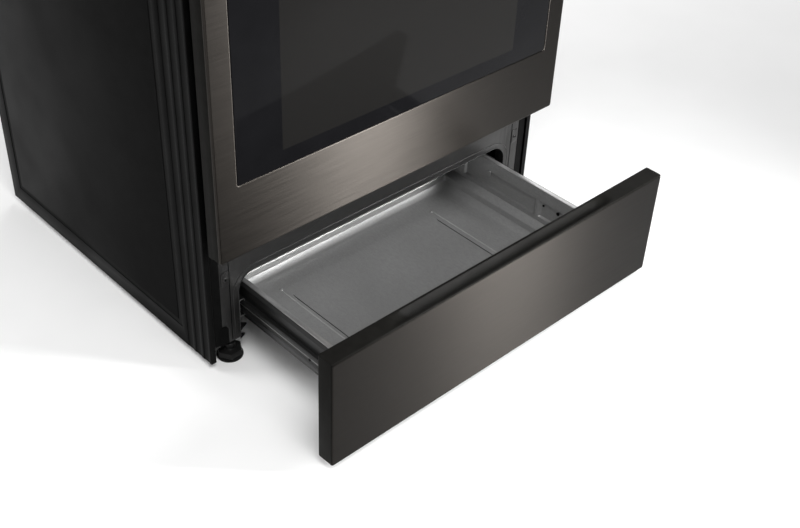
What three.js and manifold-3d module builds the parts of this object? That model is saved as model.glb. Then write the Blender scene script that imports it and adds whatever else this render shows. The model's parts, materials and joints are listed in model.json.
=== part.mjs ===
// Freestanding gas range with its storage drawer drawn out.
// Millimetres. +X is to the right, +Y goes back to the wall, +Z is up.
// The origin is on the floor under the middle of the range's bounding box.
import * as THREE from 'three';
import { mergeVertices } from 'three/addons/utils/BufferGeometryUtils.js';
import Module from 'manifold-3d';

const wasm = await Module();
wasm.setup();

// ---- Driving dimensions -------------------------------------------------

const HALF_WIDTH = 378;
const BACK_Y = 480;
const DOOR_FRONT_Y = -220;
const DRAWER_TRAVEL = 260;
const FRAME_FACE_Y = -172;
const SIDE_FRONT_Y = -175.5;
const BODY_BACK_Y = 470;
const PANEL_BOTTOM_Z = 12;
const COOKTOP_Z = 916;
const TOP_Z = 1200;

const SHEET = 2;
const GAP = 0.3;
const RIM_Z = COOKTOP_Z - 12.7;

const DOOR = { left: -377, right: 377, bottom: 243.5, top: 795, depth: 30 };
const WINDOW = { halfWidth: 337.6, bottom: 370.7, top: 700 };
const HINGE = { y: -192, z: 255.5, pin: 3, inner: 325, outer: 331 };
const HANDLE = { z: 745, y: -268, radius: 12, halfLength: 335, postX: 300 };

const OVEN = { halfWidth: 300, bottom: 284, top: 762, back: 328, wall: 3 };
const LEDGE_HEIGHTS = [385, 460, 535, 610, 685];
const RACK_HEIGHTS = [460, 610];

const DRAWER_FRONT_Y = DOOR_FRONT_Y - DRAWER_TRAVEL;
const DRAWER_PANEL = { bottom: 16, top: 222, thickness: 32 };
const DRAWER_OPENING = { halfWidth: 313, top: 162, corner: 32 };
const PAN = { floor: 34, ledge: 65, rim: 134, halfWidth: 298, inner: 284, back: -55 };
const PAN_SHEET = 1.5;
const SLIDE = { bottom: 78, top: 112, length: 500 };
const CHANNEL = { inner: 313.3, outer: 374, bottom: 30, sheet: 3 };

const CONTROL = { bottom: 800, knobZ: 845, curve: 30 };
const KNOB_X = [-288, -192, 0, 192, 288];
const PIPE = { y: -186, radius: 9, halfLength: 330 };
const SUPPLY = { x: -345, y: 420, radius: 7 };

const BURNERS = [
  { name: 'front_left', x: -240, y: -28, radius: 52 },
  { name: 'front_right', x: 240, y: -28, radius: 56 },
  { name: 'rear_left', x: -240, y: 268, radius: 44 },
  { name: 'rear_right', x: 240, y: 268, radius: 38 },
  { name: 'centre', x: 0, y: 120, radius: 48 },
];
const GRATES = [
  { name: 'left', x: -240 },
  { name: 'centre', x: 0 },
  { name: 'right', x: 240 },
];
const GRATE = { y: 120, halfWidth: 119, halfLength: 268, top: 955, bar: 10 };
const LEGS = [
  { name: 'front_left', x: -331, y: -161.5 },
  { name: 'front_right', x: 331, y: -161.5 },
  { name: 'rear_left', x: -331, y: 425 },
  { name: 'rear_right', x: 331, y: 425 },
];

// ---- Finishes -----------------------------------------------------------

const finish = (color, roughness, metalness) => (
  new THREE.MeshStandardMaterial({ color, roughness, metalness })
);
const BLACK_STEEL = finish(0x5a5550, 0.35, 0.9);
const BLACK_PAINT = finish(0x1b1b1b, 0.5, 0.2);
const SATIN_BLACK = finish(0x262624, 0.45, 0.1);
const GREY_STEEL = finish(0x6a6a68, 0.4, 0.8);
const PAN_STEEL = finish(0x6f6f6f, 0.5, 0.7);
const ZINC = finish(0x8d8d8b, 0.45, 0.8);
const ENAMEL = finish(0x22252a, 0.2, 0.1);
const CAST_IRON = finish(0x1a1a1a, 0.8, 0.2);
const GLASS = finish(0x101010, 0.08, 0.0);
const WIRE = finish(0xb9b9b9, 0.25, 1.0);
const BRASS = finish(0xa88a4a, 0.35, 0.9);
const GASKET = finish(0x3a3a3a, 0.9, 0.0);
const PLASTIC = finish(0x151515, 0.55, 0.0);

// ---- Making solids ------------------------------------------------------

// A closed three.js geometry as a solid that can be joined and cut.
function solid(geometry) {
  geometry.deleteAttribute('normal');
  geometry.deleteAttribute('uv');
  const merged = mergeVertices(geometry);
  const corners = merged.index.array;
  const triangles = [];
  for (let i = 0; i < corners.length; i += 3) {
    const [a, b, c] = corners.slice(i, i + 3);
    if (a !== b && b !== c && c !== a) triangles.push(a, b, c);
  }
  return new wasm.Manifold(new wasm.Mesh({
    numProp: 3,
    vertProperties: Float32Array.from(merged.attributes.position.array),
    triVerts: Uint32Array.from(triangles),
  }));
}

const join = (...solids) => solids.reduce((sum, next) => sum.add(next));

// A block between low and high values on each axis.
function block(x, y, z) {
  const spans = [x, y, z];
  const geometry = new THREE.BoxGeometry(...spans.map(([low, high]) => high - low));
  geometry.translate(...spans.map(([low, high]) => (low + high) / 2));
  return solid(geometry);
}

// Two blocks, one the mirror image of the other across X = 0.
const blockPair = (x, y, z) => block(x, y, z).add(block([-x[1], -x[0]], y, z));

// The span between an inner and an outer distance on one side of X = 0.
const onSide = (side, inner, outer) => (side < 0 ? [-outer, -inner] : [inner, outer]);

const polygon = (points) => new THREE.Shape(points.map(([u, v]) => new THREE.Vector2(u, v)));

// An outline pushed along an axis. Outlines are in YZ for x, XZ for y and XY for z.
const OUTLINE_BASIS = {
  x: [[0, 1, 0], [0, 0, 1], [1, 0, 0]],
  y: [[1, 0, 0], [0, 0, 1], [0, -1, 0]],
  z: [[1, 0, 0], [0, 1, 0], [0, 0, 1]],
};

function prism(axis, outline, [low, high]) {
  const shape = Array.isArray(outline) ? polygon(outline) : outline;
  const settings = { depth: high - low, bevelEnabled: false, curveSegments: 6 };
  const geometry = new THREE.ExtrudeGeometry(shape, settings);
  const basis = OUTLINE_BASIS[axis].map((direction) => new THREE.Vector3(...direction));
  geometry.applyMatrix4(new THREE.Matrix4().makeBasis(...basis));
  const start = { x: [low, 0, 0], y: [0, high, 0], z: [0, 0, low] }[axis];
  geometry.translate(...start);
  return solid(geometry);
}

// A round bar along an axis, with its centre at (a, b) on the other two axes.
function rod(axis, radius, [low, high], [a, b], sides = 20) {
  const geometry = new THREE.CylinderGeometry(radius, radius, high - low, sides);
  const middle = (low + high) / 2;
  if (axis === 'x') geometry.rotateZ(-Math.PI / 2).translate(middle, a, b);
  if (axis === 'y') geometry.translate(a, middle, b);
  if (axis === 'z') geometry.rotateX(Math.PI / 2).translate(a, b, middle);
  return solid(geometry);
}

// A cutter for a hole whose flats stay outside the radius.
function bore(axis, radius, span, centre, sides = 20) {
  return rod(axis, radius / Math.cos(Math.PI / sides), span, centre, sides);
}

// A profile of (radius, height) points turned about the Z axis.
function turned(profile, sides = 24) {
  const points = profile.map(([radius, height]) => new THREE.Vector2(radius, height));
  const geometry = new THREE.LatheGeometry(points, sides);
  geometry.rotateX(Math.PI / 2);
  return solid(geometry);
}

// A rectangle with rounded corners, centred on u = 0.
function roundedRectangle(halfWidth, bottom, top, radius) {
  const shape = new THREE.Shape();
  shape.moveTo(-halfWidth + radius, bottom);
  shape.lineTo(halfWidth - radius, bottom);
  shape.absarc(halfWidth - radius, bottom + radius, radius, -Math.PI / 2, 0);
  shape.absarc(halfWidth - radius, top - radius, radius, 0, Math.PI / 2);
  shape.absarc(-halfWidth + radius, top - radius, radius, Math.PI / 2, Math.PI);
  shape.absarc(-halfWidth + radius, bottom + radius, radius, Math.PI, Math.PI * 1.5);
  return shape;
}

function piece(name, shape, material, position = [0, 0, 0]) {
  const { vertProperties, triVerts } = shape.getMesh();
  const geometry = new THREE.BufferGeometry();
  geometry.setAttribute('position', new THREE.BufferAttribute(vertProperties, 3));
  geometry.setIndex(new THREE.BufferAttribute(triVerts, 1));
  geometry.computeVertexNormals();
  const mesh = new THREE.Mesh(geometry, material);
  mesh.name = name;
  mesh.position.set(...position);
  return mesh;
}

// ---- Body shell ---------------------------------------------------------

// A folded side panel with upright flutes near its front edge and a long framed panel behind.
function sidePanel(side) {
  const inside = HALF_WIDTH - SHEET;
  const grooved = HALF_WIDTH - 0.8;
  const flutes = { start: -163, pitch: 22, halfWidth: 7 };
  const outline = [
    [HALF_WIDTH - 10, SIDE_FRONT_Y + SHEET],
    [HALF_WIDTH - 10, SIDE_FRONT_Y],
    [HALF_WIDTH, SIDE_FRONT_Y],
  ];
  for (let i = 0; i < 3; i += 1) {
    const y = flutes.start + i * flutes.pitch;
    outline.push([HALF_WIDTH, y - flutes.halfWidth], [grooved, y - flutes.halfWidth]);
    outline.push([grooved, y + flutes.halfWidth], [HALF_WIDTH, y + flutes.halfWidth]);
  }
  outline.push(
    [HALF_WIDTH, BODY_BACK_Y],
    [HALF_WIDTH - 14, BODY_BACK_Y],
    [HALF_WIDTH - 14, BODY_BACK_Y - SHEET],
    [inside, BODY_BACK_Y - SHEET],
    [inside, SIDE_FRONT_Y + SHEET],
  );
  const placed = outline.map(([x, y]) => [side * x, y]);
  const panel = prism('z', placed, [PANEL_BOTTOM_Z, RIM_Z - 0.6]);
  const frame = { front: -97, back: 440, bottom: 45, top: 880, width: 10 };
  const grooveX = onSide(side, grooved, HALF_WIDTH + 1);
  const outer = block(grooveX, [frame.front, frame.back], [frame.bottom, frame.top]);
  const inner = block(
    onSide(side, grooved - 1, HALF_WIDTH + 2),
    [frame.front + frame.width, frame.back - frame.width],
    [frame.bottom + frame.width, frame.top - frame.width],
  );
  return panel.subtract(outer.subtract(inner));
}

// The rear sheet, with a raised wiring cover and a hole for the gas inlet.
function backPanel() {
  const y = [BODY_BACK_Y + GAP, BODY_BACK_Y + GAP + SHEET];
  const sheet = block([-364, 364], y, [60, RIM_Z - 1]);
  const cover = block([-290, 290], [y[0], BACK_Y], [240, 860]);
  const hollow = block([-288, 288], [y[0] - 1, BACK_Y - SHEET], [242, 858]);
  const inletHole = bore('y', 14, [y[0] - 1, y[1] + 1], [SUPPLY.x, 150]);
  return sheet.add(cover).subtract(hollow).subtract(inletHole);
}

// Two channels along the sides and a beam across the back carry the slides and the legs.
function baseFrame() {
  const { inner, outer, bottom, sheet } = CHANNEL;
  const y = [-165, 462];
  const floor = blockPair([inner, outer], y, [bottom, bottom + sheet]);
  const innerWall = blockPair([inner, inner + sheet], [-150, y[1]], [bottom, 118]);
  const outerWall = blockPair([outer - sheet, outer], y, [bottom, 66]);
  const beamFloor = block([-inner - 1, inner + 1], [432, 462], [bottom, bottom + sheet]);
  const beamWall = block([-inner - 1, inner + 1], [459, 462], [bottom, 66]);
  let frame = join(floor, innerWall, outerWall, beamFloor, beamWall);
  for (const { x, y: legY } of LEGS) {
    frame = frame.subtract(bore('z', 6.4, [bottom - 1, bottom + sheet + 1], [x, legY]));
  }
  return frame;
}

// The pressed face frame around the oven mouth and the drawer opening.
function frontFrame() {
  const y = [FRAME_FACE_Y, FRAME_FACE_Y + SHEET];
  const through = [y[0] - 1, y[1] + 60];
  const bottom = 36;
  const sheet = block([-366, 366], y, [bottom, RIM_Z - 1]);
  const sideReturns = blockPair([364, 366], [y[0] + 1, y[1] + 28], [bottom, RIM_Z - 1]);
  const { halfWidth, top, corner } = DRAWER_OPENING;
  const drawerMouth = prism('y', roundedRectangle(halfWidth, -80, top, corner), through);
  const lip = prism(
    'y',
    roundedRectangle(halfWidth + SHEET, -80, top + SHEET, corner + SHEET),
    [y[0] + 1, y[1] + 18],
  ).subtract(block([-400, 400], [-400, 400], [-100, bottom]));
  const ovenMouth = prism(
    'y',
    roundedRectangle(OVEN.halfWidth, OVEN.bottom, OVEN.top, 18),
    through,
  );
  const hingeSlots = blockPair([HINGE.inner - 2, HINGE.outer + 2], through, [247, 264]);
  const pipeHole = bore('y', 10, through, [SUPPLY.x, CONTROL.knobZ]);
  return join(sheet, sideReturns, lip)
    .subtract(drawerMouth)
    .subtract(ovenMouth)
    .subtract(hingeSlots)
    .subtract(pipeHole);
}

// ---- Oven ---------------------------------------------------------------

// The enamelled oven box, open at the front, with rack ledges on both side walls.
function ovenCavity() {
  const { halfWidth, bottom, top, back, wall } = OVEN;
  const front = FRAME_FACE_Y + SHEET + GAP;
  const shell = block(
    [-halfWidth - wall, halfWidth + wall],
    [front, back + wall],
    [bottom - wall, top + wall],
  );
  const inside = block([-halfWidth, halfWidth], [front - 1, back], [bottom, top]);
  const ledges = LEDGE_HEIGHTS.map((z) => (
    blockPair([halfWidth - 6, halfWidth + 1], [-150, back - 8], [z, z + 5])
  ));
  return join(shell.subtract(inside), ...ledges);
}

// The lift-out oven floor, with slots along both sides for the bake flame's heat.
function ovenFloorCover() {
  const top = 320;
  const y = [-165, 326];
  const deck = block([-298, 298], y, [top - SHEET, top]);
  const flanges = blockPair([296, 298], y, [OVEN.bottom + GAP, top]);
  let cover = deck.add(flanges);
  for (let i = 0; i < 5; i += 1) {
    const start = -130 + i * 90;
    cover = cover.subtract(blockPair([262, 274], [start, start + 60], [top - 5, top + 1]));
  }
  return cover;
}

// The bake burner's tube under the oven floor, with its front foot and rear flange.
function bakeBurner() {
  const z = 300;
  const tube = rod('y', 11, [-120, 318], [0, z], 16);
  const foot = block([-8, 8], [-100, -94], [OVEN.bottom + GAP, z]);
  const flange = block([-20, 20], [318, OVEN.back - GAP], [OVEN.bottom + GAP, z + 14]);
  return join(tube, foot, flange);
}

// The broil burner: a flat radiant box hung from the oven's ceiling.
function broilBurner() {
  const body = block([-110, 110], [-60, 240], [742, 752]);
  const feed = rod('y', 8, [239, OVEN.back - GAP], [0, 748], 12);
  const hangers = blockPair([92, 98], [60, 90], [751, OVEN.top - GAP]);
  return join(body, feed, hangers);
}

// A flat rack of straight bars: two side rails, cross bars and a fence along the back.
function ovenRack(ledge) {
  const bottom = ledge + 5 + GAP;
  const y = [-148, 312];
  const rails = blockPair([290, 297], y, [bottom, bottom + 6]);
  const barYs = [y[0], 70, y[1] - 6];
  const bars = barYs.map((start) => block([-291, 291], [start, start + 6], [bottom, bottom + 6]));
  const wires = [];
  for (let x = -260; x <= 260; x += 40) {
    wires.push(block([x - 2, x + 2], [y[0] + 1, y[1] - 1], [bottom + 3, bottom + 8]));
  }
  const fence = block([-280, 280], [y[1] - 6, y[1]], [bottom + 4, bottom + 22]);
  return join(rails, ...bars, ...wires, fence);
}

// ---- Cooktop ------------------------------------------------------------

// A pressed tray: a raised rim round a sunken deck, hollow underneath.
function cooktop() {
  const y = [-210, 411.5];
  const outer = block([-HALF_WIDTH, HALF_WIDTH], y, [RIM_Z, COOKTOP_Z]);
  const underside = block([-374, 374], [y[0] + 4, y[1] - 4], [RIM_Z - 1, COOKTOP_Z - 6.5]);
  const deck = block([-364, 364], [y[0] + 44, y[1] - 14], [COOKTOP_Z - 4.5, COOKTOP_Z + 1]);
  return outer.subtract(underside).subtract(deck);
}

const DECK_Z = COOKTOP_Z - 4.5 + GAP;
const BURNER_BASE_HEIGHT = 14;

function burnerBase(radius) {
  return turned([
    [0, 0],
    [radius, 0],
    [radius, 4],
    [radius - 8, 8],
    [radius - 8, BURNER_BASE_HEIGHT],
    [0, BURNER_BASE_HEIGHT],
  ]);
}

function burnerCap(radius) {
  return turned([
    [0, 0],
    [radius - 5, 0],
    [radius - 3, 3],
    [radius - 6, 6],
    [radius - 16, 8],
    [0, 8],
  ]);
}

// A cast grate: an outer frame on four feet, two long bars and cross bars over each burner.
function grate() {
  const { halfWidth, halfLength, top, bar } = GRATE;
  const z = [top - 12, top];
  const long = [-halfLength, halfLength];
  const bars = [
    blockPair([halfWidth - bar, halfWidth], long, z),
    blockPair([38, 38 + bar], long, z),
  ];
  for (const y of [-halfLength, -190, -110, -bar / 2, 100, 180, halfLength - bar]) {
    bars.push(block([-halfWidth + 1, halfWidth - 1], [y, y + bar], z));
  }
  for (const y of [-halfLength, halfLength - bar]) {
    bars.push(blockPair([halfWidth - bar, halfWidth], [y, y + bar], [DECK_Z, top - 1]));
  }
  return join(...bars);
}

// The curved front panel that carries the knobs, open at the back.
function controlPanel() {
  const { bottom, knobZ, curve } = CONTROL;
  const top = RIM_Z - 0.6;
  const back = SIDE_FRONT_Y - 0.5;
  const profile = (inset) => {
    const shape = new THREE.Shape();
    shape.moveTo(back + inset * 4, bottom + inset);
    shape.lineTo(DOOR_FRONT_Y + inset, bottom + inset);
    shape.lineTo(DOOR_FRONT_Y + inset, top - curve);
    shape.quadraticCurveTo(DOOR_FRONT_Y + inset, top - inset, DOOR_FRONT_Y + 12, top - inset);
    shape.lineTo(back + inset * 4, top - inset);
    return shape;
  };
  const outer = prism('x', profile(0), [-HALF_WIDTH, HALF_WIDTH]);
  const inner = prism('x', profile(SHEET), [-HALF_WIDTH + SHEET, HALF_WIDTH - SHEET]);
  let panel = outer.subtract(inner);
  for (const x of KNOB_X) {
    panel = panel.subtract(bore('y', 7, [DOOR_FRONT_Y - 1, DOOR_FRONT_Y + 5], [x, knobZ]));
  }
  return panel;
}

// The gas rail behind the control panel, with a valve body at each knob.
function gasManifold() {
  const { y, radius, halfLength } = PIPE;
  const z = CONTROL.knobZ;
  let rail = rod('x', radius, [-halfLength, halfLength], [y, z], 16);
  for (const x of KNOB_X) {
    rail = rail.add(rod('y', 11, [y - 22, y - 2], [x, z], 16));
    rail = rail.subtract(bore('y', 4.3, [y - 23, y - 14], [x, z], 16));
  }
  const brackets = blockPair([238, 250], [y, FRAME_FACE_Y - GAP], [z - 8, z + 8]);
  return rail.add(brackets);
}

function valveStem() {
  return rod('y', 4, [-244, -204.5], [0, 0], 16);
}

// A round knob with a skirt and a raised grip bar, bored from behind for its stem.
function knob() {
  const back = DOOR_FRONT_Y - 4.5;
  const skirt = rod('y', 27, [back - 6, back], [0, 0], 28);
  const body = rod('y', 22, [back - 32, back - 5], [0, 0], 28);
  const grip = block([-4, 4], [back - 38, back - 30], [-21, 21]);
  const hole = bore('y', 4.15, [-244.6, back + 1], [0, 0], 16);
  return join(skirt, body, grip).subtract(hole);
}

// The regulator at the back and the pipe that rises from it and runs forward to the rail.
function gasRegulator() {
  const { x, y, radius } = SUPPLY;
  const z = CONTROL.knobZ;
  const body = block([x - 20, x + 20], [y - 22, y + 22], [126, 176]);
  const dome = rod('z', 17, [175, 190], [x, y], 16);
  const inlet = rod('y', 9, [y + 21, BACK_Y - 4], [x, 150], 12);
  const riser = rod('z', radius, [185, z], [x, y], 12);
  const run = rod('y', radius, [PIPE.y, y], [x, z], 12);
  const tail = rod('x', radius, [x, -PIPE.halfLength - GAP], [PIPE.y, z], 12);
  const elbows = [y, PIPE.y].map((elbowY) => (
    solid(new THREE.SphereGeometry(radius + 1.5, 12, 8).translate(x, elbowY, z))
  ));
  return join(body, dome, inlet, riser, run, tail, ...elbows);
}

// The raised back console, open underneath.
function backguard() {
  const profile = (inset) => [
    [412 + inset, RIM_Z + 1.7 - inset * 4],
    [478 - inset, RIM_Z + 1.7 - inset * 4],
    [478 - inset, TOP_Z - inset],
    [440 + inset, TOP_Z - inset],
    [430 + inset, TOP_Z - 12 - inset],
  ];
  const outer = prism('x', profile(0), [-HALF_WIDTH, HALF_WIDTH]);
  return outer.subtract(prism('x', profile(SHEET), [-HALF_WIDTH + SHEET, HALF_WIDTH - SHEET]));
}

// A thin glass panel that lies on the console's leaning face.
function backguardDisplay() {
  const lean = (430 - 412) / (TOP_Z - 12 - RIM_Z - 1.7);
  const faceY = (z) => 412 + (z - RIM_Z - 1.7) * lean;
  const [low, high] = [985, 1160];
  const outline = [
    [faceY(low) - 0.4, low],
    [faceY(high) - 0.4, high],
    [faceY(high) - 3.4, high],
    [faceY(low) - 3.4, low],
  ];
  return prism('x', outline, [-210, 210]);
}

// ---- Door ---------------------------------------------------------------

const HINGE_CUT = { inner: HINGE.inner - 3, outer: HINGE.outer + 3, top: 264 };

// The outer door panel with the window opening and notches for the hinge arms.
function doorSkin() {
  const { left, right, bottom, top, depth } = DOOR;
  const y = [DOOR_FRONT_Y, DOOR_FRONT_Y + depth];
  const outer = block([left, right], y, [bottom, top]);
  const inside = block(
    [left + SHEET, right - SHEET],
    [y[0] + SHEET, y[1] + 1],
    [bottom + SHEET, top - SHEET],
  );
  const window = block(
    [-WINDOW.halfWidth, WINDOW.halfWidth],
    [y[0] - 1, y[0] + 5],
    [WINDOW.bottom, WINDOW.top],
  );
  const notches = blockPair([HINGE_CUT.inner, HINGE_CUT.outer], [-200, y[1] + 1], [bottom - 1, 250]);
  return outer.subtract(inside).subtract(window).subtract(notches);
}

function doorGlass() {
  return block(
    [-WINDOW.halfWidth + GAP, WINDOW.halfWidth - GAP],
    [DOOR_FRONT_Y + 0.2, DOOR_FRONT_Y + 5],
    [WINDOW.bottom + GAP, WINDOW.top - GAP],
  );
}

// The inner door pan that faces the oven, with the inner window and the hinge pins.
function doorLiner() {
  const rimY = [-192.3, -190.3];
  const faceY = -178.3;
  const rim = block([-374.7, 374.7], rimY, [DOOR.bottom + 2.3, DOOR.top - 2.3]);
  const tray = block([-350, 350], [rimY[0], faceY], [252, 784]);
  const hollow = block([-348, 348], [rimY[0] - 1, faceY - SHEET], [254, 782]);
  const window = block([-240, 240], [rimY[0] - 1, faceY + 1], [400, 640]);
  const slots = blockPair([HINGE_CUT.inner, HINGE_CUT.outer], [-210, -170], [240, HINGE_CUT.top]);
  const earY = [HINGE.y - 8, rimY[1]];
  const ears = join(
    blockPair([HINGE_CUT.inner - 4, HINGE_CUT.inner], earY, [246, 264]),
    blockPair([HINGE_CUT.outer, HINGE_CUT.outer + 4], earY, [246, 264]),
  );
  const pinSpan = [HINGE_CUT.inner - 2, HINGE_CUT.outer + 2];
  const pins = join(...[-1, 1].map((side) => (
    rod('x', HINGE.pin, onSide(side, ...pinSpan), [HINGE.y, HINGE.z], 16)
  )));
  return join(rim, tray)
    .subtract(hollow)
    .subtract(window)
    .subtract(slots)
    .add(ears)
    .add(pins);
}

// The inner pane, clamped behind the liner's window.
function doorInnerGlass() {
  return block([-252, 252], [-184.6, -180.6], [388, 652]);
}

// The tubular handle on two posts.
function doorHandle() {
  const { z, y, radius, halfLength, postX } = HANDLE;
  const bar = rod('x', radius, [-halfLength, halfLength], [y, z], 20);
  const posts = blockPair([postX, postX + 22], [y, DOOR_FRONT_Y - GAP], [z - 9, z + 9]);
  return bar.add(posts);
}

// The woven seal round the oven mouth.
function doorGasket() {
  const y = [-178, FRAME_FACE_Y - GAP];
  const outer = prism('y', roundedRectangle(318, 268, 776, 26), y);
  const inner = prism('y', roundedRectangle(306, 280, 764, 18), [y[0] - 1, y[1] + 1]);
  return outer.subtract(inner);
}

// A hinge arm fixed in the body: a round eye in the door and a claw behind the frame.
function hingeArm(side) {
  const x = onSide(side, HINGE.inner, HINGE.outer);
  const eye = rod('x', 6, x, [HINGE.y, HINGE.z], 20);
  const bar = block(x, [HINGE.y, -120], [HINGE.z - 5, HINGE.z + 5]);
  const claw = block(x, [-166, -154], [HINGE.z - 14, HINGE.z]);
  const pinHole = bore('x', HINGE.pin + 0.15, [x[0] - 1, x[1] + 1], [HINGE.y, HINGE.z], 16);
  return join(eye, bar, claw).subtract(pinHole);
}

// ---- Drawer -------------------------------------------------------------

// The drawer's front panel, hollow behind, with a finger scoop along its top edge.
function drawerFront() {
  const { bottom, top, thickness } = DRAWER_PANEL;
  const y = [DRAWER_FRONT_Y, DRAWER_FRONT_Y + thickness];
  const panel = block([-HALF_WIDTH, HALF_WIDTH], y, [bottom, top]);
  const hollow = block([-370, 370], [y[0] + 3, y[1] + 1], [bottom + 4, 196]);
  const scoopDepth = 15;
  const lip = y[0] + 3.8;
  const rear = y[0] + 26.5;
  const wedge = prism('x', [
    [lip, top - scoopDepth],
    [lip + 3, top - scoopDepth],
    [rear, top],
    [rear, top + 1],
    [lip, top + 1],
  ], [-260, 260]);
  const mouth = prism('z', [
    [-258, y[0] + 12],
    [-205, lip],
    [205, lip],
    [258, y[0] + 12],
    [236, y[0] + 22],
    [206, rear],
    [-206, rear],
    [-236, y[0] + 22],
  ], [top - scoopDepth - 1, top + 2]);
  return panel.subtract(hollow).subtract(wedge.intersect(mouth));
}

// The sheet-metal pan: sloped sides up to a ledge, a low back lip and a front wall.
function drawerPan() {
  const { floor, ledge, inner, back } = PAN;
  const front = DRAWER_FRONT_Y + DRAWER_PANEL.thickness + GAP;
  const right = [
    [257, floor],
    [267, floor + 8],
    [270, floor + 23],
    [inner, ledge - PAN_SHEET],
    [296, ledge - PAN_SHEET],
  ];
  const flip = (points) => points.map(([x, z]) => [-x, z]).reverse();
  const outline = [
    ...flip(right),
    ...right,
    [296, ledge],
    [inner - 1, ledge],
    [268.6, floor + 24],
    [265.6, floor + 9],
    [256.4, floor + PAN_SHEET],
    [-256.4, floor + PAN_SHEET],
    [-265.6, floor + 9],
    [-268.6, floor + 24],
    [-inner + 1, ledge],
    [-296, ledge],
  ];
  const trough = prism('y', outline, [front, back]);
  const backLip = prism('x', [
    [back - 15, floor],
    [back - 10, floor + 14],
    [back - 10, floor + 23],
    [back, floor + 23],
    [back, floor + 21.5],
    [back - 8.5, floor + 21.5],
    [back - 8.5, floor + 13.5],
    [back - 13, floor],
  ], [-269, 269]);
  const behindLip = block([-269.5, 269.5], [back - 13.5, back + 1], [floor - 1, floor + 9]);
  const frontWall = block([-inner + 2, inner - 2], [front, front + PAN_SHEET], [ledge - 20, PAN.rim - 4]);
  const frontFill = block([-262, 262], [front, front + PAN_SHEET], [floor, ledge]);
  const emboss = block([-183, 183], [front + 20, back - 65], [floor + 1, floor + 2.7]);
  return join(trough.subtract(behindLip), backLip, frontWall, frontFill, emboss);
}

// A folded rail along each side of the pan: an inner wall, a flat rim and an outer wall.
function drawerSide(side) {
  const y = [DRAWER_FRONT_Y + DRAWER_PANEL.thickness + GAP, PAN.back - 3];
  const { ledge, rim, inner, halfWidth } = PAN;
  const bottom = ledge + GAP;
  return join(
    block(onSide(side, inner, inner + PAN_SHEET), y, [bottom, rim]),
    block(onSide(side, inner, halfWidth), y, [rim - PAN_SHEET, rim]),
    block(onSide(side, halfWidth - PAN_SHEET, halfWidth), y, [bottom, rim]),
  );
}

// The moving slide member, fixed to the drawer's side.
function slideInner(side) {
  const start = DRAWER_FRONT_Y + DRAWER_PANEL.thickness + GAP;
  const y = [start, start + SLIDE.length];
  const x = [PAN.halfWidth + GAP, PAN.halfWidth + 9];
  const z = [SLIDE.bottom + 4, SLIDE.top - 4];
  return join(
    block(onSide(side, x[0], x[0] + SHEET), y, z),
    block(onSide(side, x[0], x[1]), y, [z[0], z[0] + SHEET]),
    block(onSide(side, x[0], x[1]), y, [z[1] - SHEET, z[1]]),
  );
}

// The fixed slide member, fastened to the base channel.
function slideOuter(side) {
  const y = [FRAME_FACE_Y + 1, FRAME_FACE_Y + 1 + SLIDE.length];
  const x = [PAN.halfWidth + 4, CHANNEL.inner - GAP];
  const z = [SLIDE.bottom, SLIDE.top];
  return join(
    block(onSide(side, x[1] - SHEET, x[1]), y, z),
    block(onSide(side, x[0], x[1]), y, [z[0], z[0] + SHEET]),
    block(onSide(side, x[0], x[1]), y, [z[1] - SHEET, z[1]]),
  );
}

// A levelling leg: a broad foot, a collar that stops under the channel and a threaded stem.
function levelingLeg() {
  return turned([
    [0, 0],
    [22, 0],
    [23, 2],
    [23, 11],
    [19, 15],
    [10, 17],
    [10, CHANNEL.bottom - GAP],
    [6, CHANNEL.bottom - GAP],
    [6, 84],
    [0, 84],
  ], 20);
}

// ---- Assembly -----------------------------------------------------------

const SIDES = [['left', -1], ['right', 1]];
const range = new THREE.Group();

const body = new THREE.Group();
range.add(body);
for (const [name, side] of SIDES) {
  body.add(piece(`${name}_side_panel`, sidePanel(side), BLACK_PAINT));
  body.add(piece(`slide_outer_${name}`, slideOuter(side), ZINC));
  body.add(piece(`hinge_arm_${name}`, hingeArm(side), ZINC));
}
body.add(piece('back_panel', backPanel(), ZINC));
body.add(piece('base_frame', baseFrame(), ZINC));
body.add(piece('front_frame', frontFrame(), GREY_STEEL));
body.add(piece('door_gasket', doorGasket(), GASKET));
body.add(piece('gas_regulator', gasRegulator(), ZINC));
for (const { name, x, y } of LEGS) {
  body.add(piece(`leveling_leg_${name}`, levelingLeg(), PLASTIC, [x, y, 0]));
}

const oven = new THREE.Group();
range.add(oven);
oven.add(piece('oven_cavity', ovenCavity(), ENAMEL));
oven.add(piece('oven_floor_cover', ovenFloorCover(), ENAMEL));
oven.add(piece('bake_burner', bakeBurner(), ZINC));
oven.add(piece('broil_burner', broilBurner(), ZINC));
RACK_HEIGHTS.forEach((height, i) => {
  oven.add(piece(`oven_rack_${['lower', 'upper'][i]}`, ovenRack(height), WIRE));
});

const top = new THREE.Group();
range.add(top);
top.add(piece('cooktop', cooktop(), SATIN_BLACK));
top.add(piece('control_panel', controlPanel(), BLACK_STEEL));
top.add(piece('gas_manifold', gasManifold(), BRASS));
top.add(piece('backguard', backguard(), BLACK_STEEL));
top.add(piece('backguard_display', backguardDisplay(), GLASS));
for (const { name, x, y, radius } of BURNERS) {
  top.add(piece(`burner_base_${name}`, burnerBase(radius), ZINC, [x, y, DECK_Z]));
  const capZ = DECK_Z + BURNER_BASE_HEIGHT + GAP;
  top.add(piece(`burner_cap_${name}`, burnerCap(radius), CAST_IRON, [x, y, capZ]));
}
for (const { name, x } of GRATES) {
  top.add(piece(`grate_${name}`, grate(), CAST_IRON, [x, GRATE.y, 0]));
}
KNOB_X.forEach((x, i) => {
  const place = [x, 0, CONTROL.knobZ];
  top.add(piece(`valve_stem_${i + 1}`, valveStem(), BRASS, place));
  top.add(piece(`knob_${i + 1}`, knob(), BLACK_STEEL, place));
});

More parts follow.
